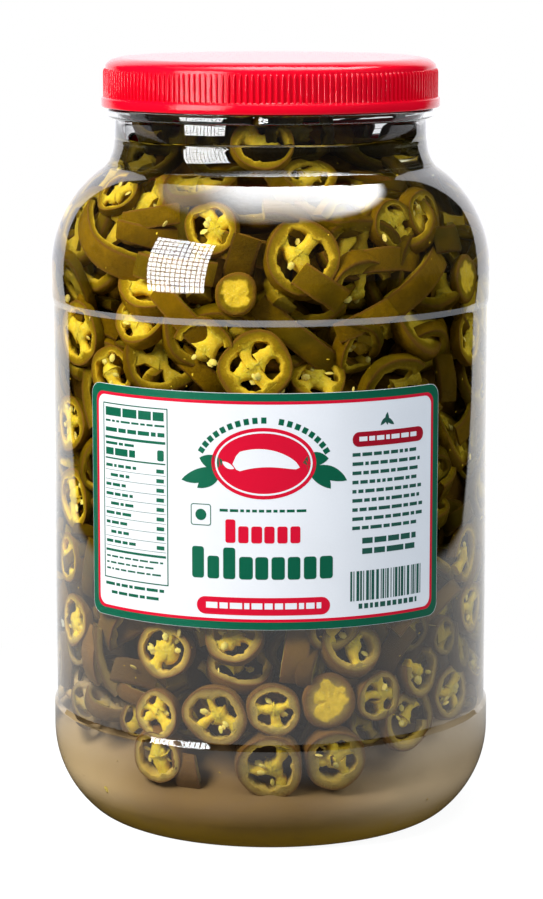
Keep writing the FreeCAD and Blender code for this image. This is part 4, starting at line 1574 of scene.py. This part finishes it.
class Print:
    """The shapes of each ink. Frames are pairs of outlines, one inside the other."""

    def __init__(self, width, height, border, keyline, corner):
        rng = np.random.default_rng(5)
        inset = border + keyline
        outer = box_shape(0.1, 0.1, width - 0.1, height - 0.1, corner)
        middle = box_shape(border, border, width - border, height - border, corner - 0.8)
        inner = box_shape(inset, inset, width - inset, height - inset, corner - 1.0)
        panel = box_shape(6.0, 13.0, 33.4, 72.2)
        panel_inside = box_shape(6.4, 13.4, 33.0, 71.8)
        medallion = (66.0, 55.4)
        mark = box_shape(41.6, 34.4, 48.6, 41.6, 0.8, 2)
        mark_inside = box_shape(41.9, 34.7, 48.3, 41.3, 0.6, 2)
        self.green_frames = [(outer, middle), (panel, panel_inside), (mark, mark_inside)]
        self.red_frames = [(middle, inner)]
        self.green = self.facts(rng) + headline(rng, 42.0, 89.8, 16.9, 27.4, 9)
        for side, turns in ((-1, (200, 224, 172)), (1, (-20, -44, 8))):
            for reach, turn in zip((0.0, 1.0, 2.2), turns):
                x, y = medallion[0] + side * (15.0 - reach), medallion[1] - 1.6 + reach * 0.8
                self.green.append(leaf_shape(x, y, 13.5 - 2.2 * reach, 2.9, turn))
        self.green += text_rows(rng, 51.5, 80.5, 40.2, 1, 3, 0.9, (1.2, 3.4))
        self.green += self.arch(medallion, 22.5, 16.2)
        self.green += [oval_shape(45.1, 38.0, 1.9, 1.9, 20)]
        self.red = headline(rng, 53.4, 79.0, 29.0, 36.8, 6)
        self.red += [oval_shape(*medallion, 17.2, 11.8, 56), box_shape(43.6, 4.9, 88.0, 10.8, 2.9)]
        self.deep = [box_shape(95.6, 60.0, 123.4, 64.9, 2.3)]
        self.dark = text_rows(rng, 95.6, 123.4, 58.0, 9, 3.05, 1.15, (1.2, 4.4), ragged=3.0)
        self.dark += text_rows(rng, 99.2, 120.4, 29.6, 2, 3.5, 1.9, (3.6, 7.0))
        self.dark += self.bars(rng, 95.0, 123.8, 8.6, 18.6)
        self.dark += text_rows(rng, 98.0, 121.0, 7.6, 1, 2, 1.7, (1.0, 2.0))
        for number, turn in enumerate((40, 90, 140)):
            self.dark.append(leaf_shape(108.4 + 2.6 * (number - 1), 66.6, 4.2, 0.9, turn))
        ring, ring_inside = (oval_shape(*medallion, *half, 56) for half in ((16.0, 10.6), (15.4, 10.0)))
        self.white_frames = [(ring, ring_inside)]
        self.white = [pod_shape(medallion[0] + 0.8, medallion[1] - 1.4, 22.0, 6.4)]
        self.white += [leaf_shape(medallion[0] - 9.6, medallion[1] - 1.8, 4.6, 1.1, 150)]
        self.white += text_rows(rng, 46.8, 85.0, 9.0, 1, 3, 2.0, (1.3, 4.2))
        self.white += text_rows(rng, 98.0, 121.2, 63.3, 1, 3, 1.5, (1.4, 3.2))

    def facts(self, rng):
        """The table of small print at the left."""
        left, right = 7.2, 32.2
        rule_left, rule_right = 6.9, 32.5
        shapes = text_rows(rng, left, right, 70.8, 1, 3, 2.9, (4.0, 8.0))
        shapes += text_rows(rng, left, right, 66.6, 1, 3, 0.7, (1.2, 4.0))
        shapes += text_rows(rng, left, right, 64.0, 1, 3, 1.4)
        for low, high in ((60.2, 61.1), (53.4, 53.9), (22.2, 23.0)):
            shapes.append(box_shape(rule_left, low, rule_right, high))
        shapes += text_rows(rng, left, 20.0, 59.2, 1, 3, 0.9)
        shapes += text_rows(rng, left, 20.5, 57.2, 1, 3, 2.4, (3.0, 6.0))
        shapes += [box_shape(29.4, 54.6, 31.9, 58.2, 0.5, 2)]
        for row in range(9):
            high = 51.8 - row * 3.2
            start = left + 2.2 * (row % 3 == 1)
            shapes += text_rows(rng, start, 21.0, high, 1, 3, 1.0, (1.2, 4.0), ragged=5.0)
            shapes += [box_shape(29.0, high - 1.3, 31.9, high)]
            shapes += [box_shape(rule_left, high - 2.15, rule_right, high - 2.0)]
        shapes += text_rows(rng, left, right, 20.8, 3, 2.1, 0.6, (0.8, 3.4), ragged=4.0)
        shapes += text_rows(rng, 6.6, 33.0, 11.6, 1, 2.8, 1.0, (1.2, 5.0))
        shapes += text_rows(rng, 9.4, 29.6, 8.8, 1, 2.8, 1.0)
        return shapes

    def arch(self, middle, across, up):
        """Short bars set along an arch over the medallion."""
        shapes = []
        for step in range(19):
            turn = radians(156 - step * 7.35)
            if step == 10:
                continue
            x, y = middle[0] + across * cos(turn), middle[1] - 3.0 + (up + 1.0) * sin(turn)
            along = (sin(turn), -cos(turn) * up / across)
            size = hypot(*along)
            ax, ay = along[0] / size, along[1] / size
            half, tall = 0.85, 1.0
            shapes.append([(x + ax * half * side + ay * tall * end, y + ay * half * side - ax * tall * end)
                           for side, end in ((-1, 1), (1, 1), (1, -1), (-1, -1))])
        return shapes

    def bars(self, rng, left, right, low, high):
        """Upright bars of uneven width."""
        shapes = []
        x = left
        while x < right - 0.6:
            width = float(rng.choice((0.33, 0.33, 0.66, 1.0)))
            shapes.append(box_shape(x, low, x + width, high))
            x += width + float(rng.choice((0.33, 0.45, 0.75)))
        return shapes


# How far the ink reaches into the paper and stands on it
INK_SINK, INK_STAND = 0.02 * MM, 0.04 * MM
# In millimetres: how wide a shape stays flat, and how far apart wider ones are cut so that they can bend
NARROW, CUT_PITCH = 3.0, 2.5


class PEPPER_JAR_OT_label(bpy.types.Operator):
    """Paper label and its print"""
    bl_idname = "pepper_jar.label"
    bl_label = "Label"
    bl_options = {"REGISTER", "UNDO"}

    def execute(self, context):
        settings = settings_of(context)
        label = settings.label
        self.radius = settings.jar.band - settings.jar.panel_step + 0.05 * MM
        self.face = self.radius + label.thickness
        self.width, self.turn, self.base = label.width, label.turn, LABEL_LOW.z
        height = LABEL_HIGH.z - LABEL_LOW.z
        wide, tall = label.width / MM, height / MM
        marks = Print(wide, tall, label.border / MM, label.keyline / MM, label.corner / MM)
        paper = box_shape(0.0, 0.0, wide, tall, label.corner / MM)
        blank = print_material("Label paper", settings.paper, PAPER_GLOSS)
        self.sheet("label_paper", [paper], [], self.radius, self.face, blank)
        low, high = self.face - INK_SINK, self.face + INK_STAND
        inks = (
            ("label_green", marks.green, marks.green_frames, settings.ink_green),
            ("label_red", marks.red, marks.red_frames, settings.ink_red),
            ("label_deep_red", marks.deep, [], tuple(0.55 * value for value in settings.ink_red)),
            ("label_dark", marks.dark, [], settings.ink_dark),
        )
        for name, shapes, frames, ink in inks:
            self.sheet(name, shapes, frames, low, high, print_material(name.replace("_", " "), ink))
        self.sheet("label_white", marks.white, marks.white_frames, low, high + 0.03 * MM,
                   print_material("label white", settings.paper, PAPER_GLOSS))
        return {"FINISHED"}

    def sheet(self, name, shapes, frames, inner, outer, material):
        """Fills flat shapes and frames, thickens them and wraps them round the panel."""
        bm = bmesh.new()
        for outline, hole in frames:
            around = [bm.verts.new((x, y, 0)) for x, y in outline]
            within = [bm.verts.new((x, y, 0)) for x, y in hole]
            for side in range(len(around)):
                following = (side + 1) % len(around)
                bm.faces.new((around[side], around[following], within[following], within[side]))
        small = []
        for shape in shapes:
            wide = max(x for x, _ in shape) - min(x for x, _ in shape)
            if wide > NARROW:
                bm.faces.new([bm.verts.new((x, y, 0)) for x, y in shape])
            else:
                small.append(shape)
        bmesh.ops.triangulate(bm, faces=[face for face in bm.faces if len(face.verts) > 4])
        for cut in np.arange(2.0, self.width / MM, CUT_PITCH):
            bmesh.ops.bisect_plane(bm, geom=bm.verts[:] + bm.edges[:] + bm.faces[:], dist=1e-5,
                                   plane_co=(cut, 0, 0), plane_no=(1, 0, 0))
        for shape in small:
            bm.faces.new([bm.verts.new((x, y, 0)) for x, y in shape])
        bmesh.ops.recalc_face_normals(bm, faces=bm.faces[:])
        for face in bm.faces:
            if face.normal.z < 0:
                face.normal_flip()
        made = bmesh.ops.extrude_face_region(bm, geom=bm.faces[:], use_keep_orig=True)["geom"]
        for vert in (item for item in made if isinstance(item, bmesh.types.BMVert)):
            vert.co.z = 1.0
        for vert in bm.verts:
            x, y, z = vert.co
            turn = self.turn + (x * MM - self.width / 2) / outer
            radius = inner + (outer - inner) * z
            vert.co = place_at(radius, turn, self.base + y * MM)
        bmesh.ops.recalc_face_normals(bm, faces=bm.faces[:])
        add_piece(bm, name, (material,), "label", sharp=40)


# ---- Stage ----

# Heights on the axis that the cards and the lamps face
CARDS_FACE, LAMPS_FACE = 190 * MM, 140 * MM


class PEPPER_JAR_OT_stage(bpy.types.Operator):
    """Pale floor, backdrop, lamps and camera"""
    bl_idname = "pepper_jar.stage"
    bl_label = "Stage"
    bl_options = {"REGISTER", "UNDO"}

    def execute(self, context):
        look = settings_of(context).stage
        self.floor(look)
        self.backdrop(look)
        self.card("card_key", look.card, turn=-48.2, rise=13.2, reach=1.0, wide=0.585, tall=0.71, grid=True)
        self.card("card_top", look.overhead, turn=0, rise=90, reach=0.81, wide=1.36, tall=1.36, grid=False)
        for name, power, turn, rise, reach, size, tint in (
                ("lamp_key", look.key, -52, 34, 1.2, 0.45, (1.0, 0.98, 0.95)),
                ("lamp_top", look.top, -10, 78, 1.1, 0.7, (1.0, 1.0, 1.0)),
                ("lamp_fill", look.fill, 62, 24, 1.3, 0.6, (0.8, 0.9, 1.0))):
            self.lamp(context, name, power, turn, rise, reach, size, tint)
        self.world(context, look)
        self.camera(context, look)
        scene = context.scene
        scene.view_settings.view_transform = "Standard"
        scene.cycles.caustics_refractive = False
        scene.cycles.caustics_reflective = False
        return {"FINISHED"}

    def glowing(self, shader, surface, bm, name, camera=False, glossy=False, transmission=False):
        """Makes a glowing piece of the stage, shown to some kinds of ray. It lights and shadows nothing."""
        material = shader.finish(surface)
        material.cycles.emission_sampling = "NONE"
        piece = add_piece(bm, name, (material,))
        piece.visible_camera = camera
        piece.visible_diffuse = False
        piece.visible_glossy = glossy
        piece.visible_transmission = transmission
        piece.visible_shadow = piece.visible_volume_scatter = False

    def floor(self, look):
        """White floor that glows to the camera and keeps a faint shadow near the object."""
        bm = bmesh.new()
        bmesh.ops.create_grid(bm, x_segments=8, y_segments=8, size=30.0)
        shader = Shader(bpy.data.materials.new("Floor"))
        across, along, _ = shader.parts(shader.place())
        reach = (across * across + along * along) ** 0.5
        aside = (across * across) ** 0.5 - 0.7 * (along - 0.25).between(0.0, 9.0)
        grain = shader.noise(30.0, 3.0)
        near = 1.0 - reach.ramp(0.10, 0.26)
        seen = shader.path("Glossy")
        # What a reflection shows of the floor: a disc round the object, and a strip that widens behind it
        disc = 1.0 - reach.ramp(0.50, 0.54)
        behind = (1.0 - aside.ramp(0.50, 0.54)) * along.ramp(-0.02, 0.06)
        lit = disc.maths("MAXIMUM", disc, behind)
        level = look.floor_glow + (look.backdrop - look.floor_glow) * reach.ramp(0.3, 0.8)
        # Painted shadow: the floor's glow in reflections fades out close to the object.
        level = level * (0.02 + 0.98 * reach.ramp(0.09, 0.24))
        strength = (1.0 + near * 0.12) * (1.0 - seen) + lit * level * seen
        pale = shader.mix(grain, (0.9, 0.9, 0.9), (0.86, 0.86, 0.86))
        matt = shader.node("BsdfDiffuse", sockets={"Color": pale, "Roughness": 0.4})
        glow = shader.glow((1.0, 1.0, 1.0), strength)
        surface = shader.choose(near * 0.2 * (1.0 - seen), glow, matt)
        self.glowing(shader, surface, bm, "floor", camera=True, glossy=True, transmission=True)

    def backdrop(self, look):
        """Upright white sheet behind the object, bent to face it; only its reflection is seen."""
        bm = bmesh.new()
        reach = 1.9
        rows = []
        for height in (0.0, 0.65, 1.3, 2.6):
            rows.append([bm.verts.new((reach * sin(turn), reach * cos(turn), height))
                         for turn in np.radians(np.linspace(-78, 78, 40))])
        for lower, upper in zip(rows, rows[1:]):
            for left, right, above_right, above_left in zip(lower, lower[1:], upper[1:], upper):
                bm.faces.new((left, right, above_right, above_left))
        shader = Shader(bpy.data.materials.new("Backdrop"))
        seen = shader.path("Transmission")
        cloud = 0.97 + shader.noise(2.0) * 0.06
        across, along, height = shader.parts(shader.place())
        slope = (across * across) ** 0.5 / along
        lit = 1.0 - (slope + (height - 0.25).between(0.0, 0.45) * 0.53).ramp(0.99, 1.03)
        strength = seen + (1.0 - seen) * lit * look.backdrop
        surface = shader.glow((0.955, 0.955, 1.0), strength * cloud)
        self.glowing(shader, surface, bm, "backdrop", glossy=True, transmission=True)

    def away(self, turn, rise):
        """Direction away from the object, given as degrees round from the front and up."""
        turn, rise = radians(turn), radians(rise)
        return Vector((sin(turn) * cos(rise), -cos(turn) * cos(rise), sin(rise)))

    def card(self, name, power, turn, rise, reach, wide, tall, grid):
        """The glowing front of a softbox, seen only in reflections: square with a grid, or part of a disc."""
        away = self.away(turn, rise)
        middle = away * reach + Vector((0.0, 0.0, CARDS_FACE))
        across = Vector((0, 0, 1)).cross(away)
        across = across.normalized() if across.length > 1e-3 else Vector((1, 0, 0))
        up = away.cross(across)
        bm = bmesh.new()
        layer = bm.loops.layers.uv.new("UVMap")
        corners = ((0, 0), (1, 0), (1, 1), (0, 1))
        face = bm.faces.new([bm.verts.new(middle + across * (x - 0.5) * wide + up * (y - 0.5) * tall)
                             for x, y in corners])
        for loop, corner in zip(face.loops, corners):
            loop[layer].uv = corner
        shader = Shader(bpy.data.materials.new(name))
        x, y, _ = shader.parts(shader.node("UVMap"))
        if grid:
            edge = x.ramp(0.0, 0.02) * (1.0 - x.ramp(0.98, 1.0))
            edge = edge * y.ramp(0.0, 0.02) * (1.0 - y.ramp(0.98, 1.0))
            lines = self.lines(shader, x, 12) * self.lines(shader, y, 12)
            strength = edge * power * (0.05 + 0.95 * lines)
        else:
            reach_out = ((x - 0.5) ** 2.0 + (y - 0.5) ** 2.0) ** 0.5 * 2.0
            rear = y - 1.6 * (((x - 0.5) ** 2.0) ** 0.5 - 0.257).between(0.0, 1.0)
            edge = (1.0 - reach_out.ramp(0.78, 0.97)) * (1.0 - rear.ramp(0.615, 0.635))
            strength = edge * power * (0.12 + 0.88 * y.ramp(0.06, 0.48)) * (0.1 + 0.9 * x.ramp(0.20, 0.44))
        self.glowing(shader, shader.glow((1.0, 1.0, 1.0), strength), bm, name, glossy=True)

    def lines(self, shader, along, count):
        """0 on the bars of a grid and 1 between them."""
        share = shader.node("Math", {"operation": "FRACT"}, {0: along * count})
        return share.ramp(0.06, 0.12) * (1.0 - share.ramp(0.88, 0.94))

    def lamp(self, context, name, power, turn, rise, reach, size, tint):
        """A soft square lamp that doesn't show in reflections."""
        light = bpy.data.lights.new(name, "AREA")
        light.shape, light.size, light.energy, light.color = "SQUARE", size, power, tint
        piece = bpy.data.objects.new(name, light)
        away = self.away(turn, rise)
        aim = away.to_track_quat("Z", "Y").to_matrix().to_4x4()
        piece.matrix_world = Matrix.Translation(away * reach + Vector((0.0, 0.0, LAMPS_FACE))) @ aim
        piece.visible_glossy = piece.visible_transmission = piece.visible_camera = False
        context.scene.collection.objects.link(piece)

    def world(self, context, look):
        """Even light from all round, white to the camera and dim in reflections."""
        world = bpy.data.worlds.new("Studio")
        context.scene.world = world
        shader = Shader(world)
        camera, glossy, through = (shader.path(kind) for kind in ("Camera", "Glossy", "Transmission"))
        even = (1.0 - camera) * (1.0 - glossy) * (1.0 - through)
        strength = camera + through * (1.0 - camera) * 0.05 + glossy * 0.04 + even * look.ambient
        sky = shader.node("Background", sockets={"Color": (0.97, 0.985, 1.0), "Strength": strength})
        shader.finish(sky)

    def camera(self, context, look):
        """Camera in front, a little above and looking down."""
        data = bpy.data.cameras.new("camera")
        data.lens, data.sensor_width, data.clip_end = look.lens, 36.0, 100.0
        piece = bpy.data.objects.new("camera", data)
        piece.location = (look.camera_side, -look.camera_distance, look.camera_height)
        piece.rotation_euler = (pi / 2 - look.camera_pitch, 0.0, 0.0)
        context.scene.collection.objects.link(piece)
        context.scene.camera = piece


class PEPPER_JAR_PT_panel(bpy.types.Panel):
    """Buttons that build each part of the jar"""
    bl_idname = "PEPPER_JAR_PT_panel"
    bl_label = "Pepper Jar"
    bl_space_type = "VIEW_3D"
    bl_region_type = "UI"
    bl_category = "Pepper Jar"

    def draw(self, context):
        for step in STEPS:
            self.layout.operator(step.bl_idname)


GROUPS = (JarShape, BrineShape, SliceShape, LidShape, LabelShape, StageLook, PepperJar)
STEPS = (PEPPER_JAR_OT_wall, PEPPER_JAR_OT_brine, PEPPER_JAR_OT_mass, PEPPER_JAR_OT_slices,
         PEPPER_JAR_OT_specks, PEPPER_JAR_OT_lid, PEPPER_JAR_OT_label, PEPPER_JAR_OT_stage)
CLASSES = GROUPS + STEPS + (PEPPER_JAR_PT_panel,)


def register():
    """Registers the classes and adds the settings to the scene."""
    for item in CLASSES:
        bpy.utils.register_class(item)
    bpy.types.Scene.pepper_jar = PointerProperty(type=PepperJar)


def unregister():
    """Takes the settings and the classes away again."""
    del bpy.types.Scene.pepper_jar
    for item in reversed(CLASSES):
        bpy.utils.unregister_class(item)


def main():
    """Builds every part in order."""
    register()
    bpy.ops.pepper_jar.wall()
    bpy.ops.pepper_jar.brine()
    bpy.ops.pepper_jar.mass()
    bpy.ops.pepper_jar.slices()
    bpy.ops.pepper_jar.specks()
    bpy.ops.pepper_jar.lid()
    bpy.ops.pepper_jar.label()
    bpy.ops.pepper_jar.stage()


if __name__ == "__main__":
    main()
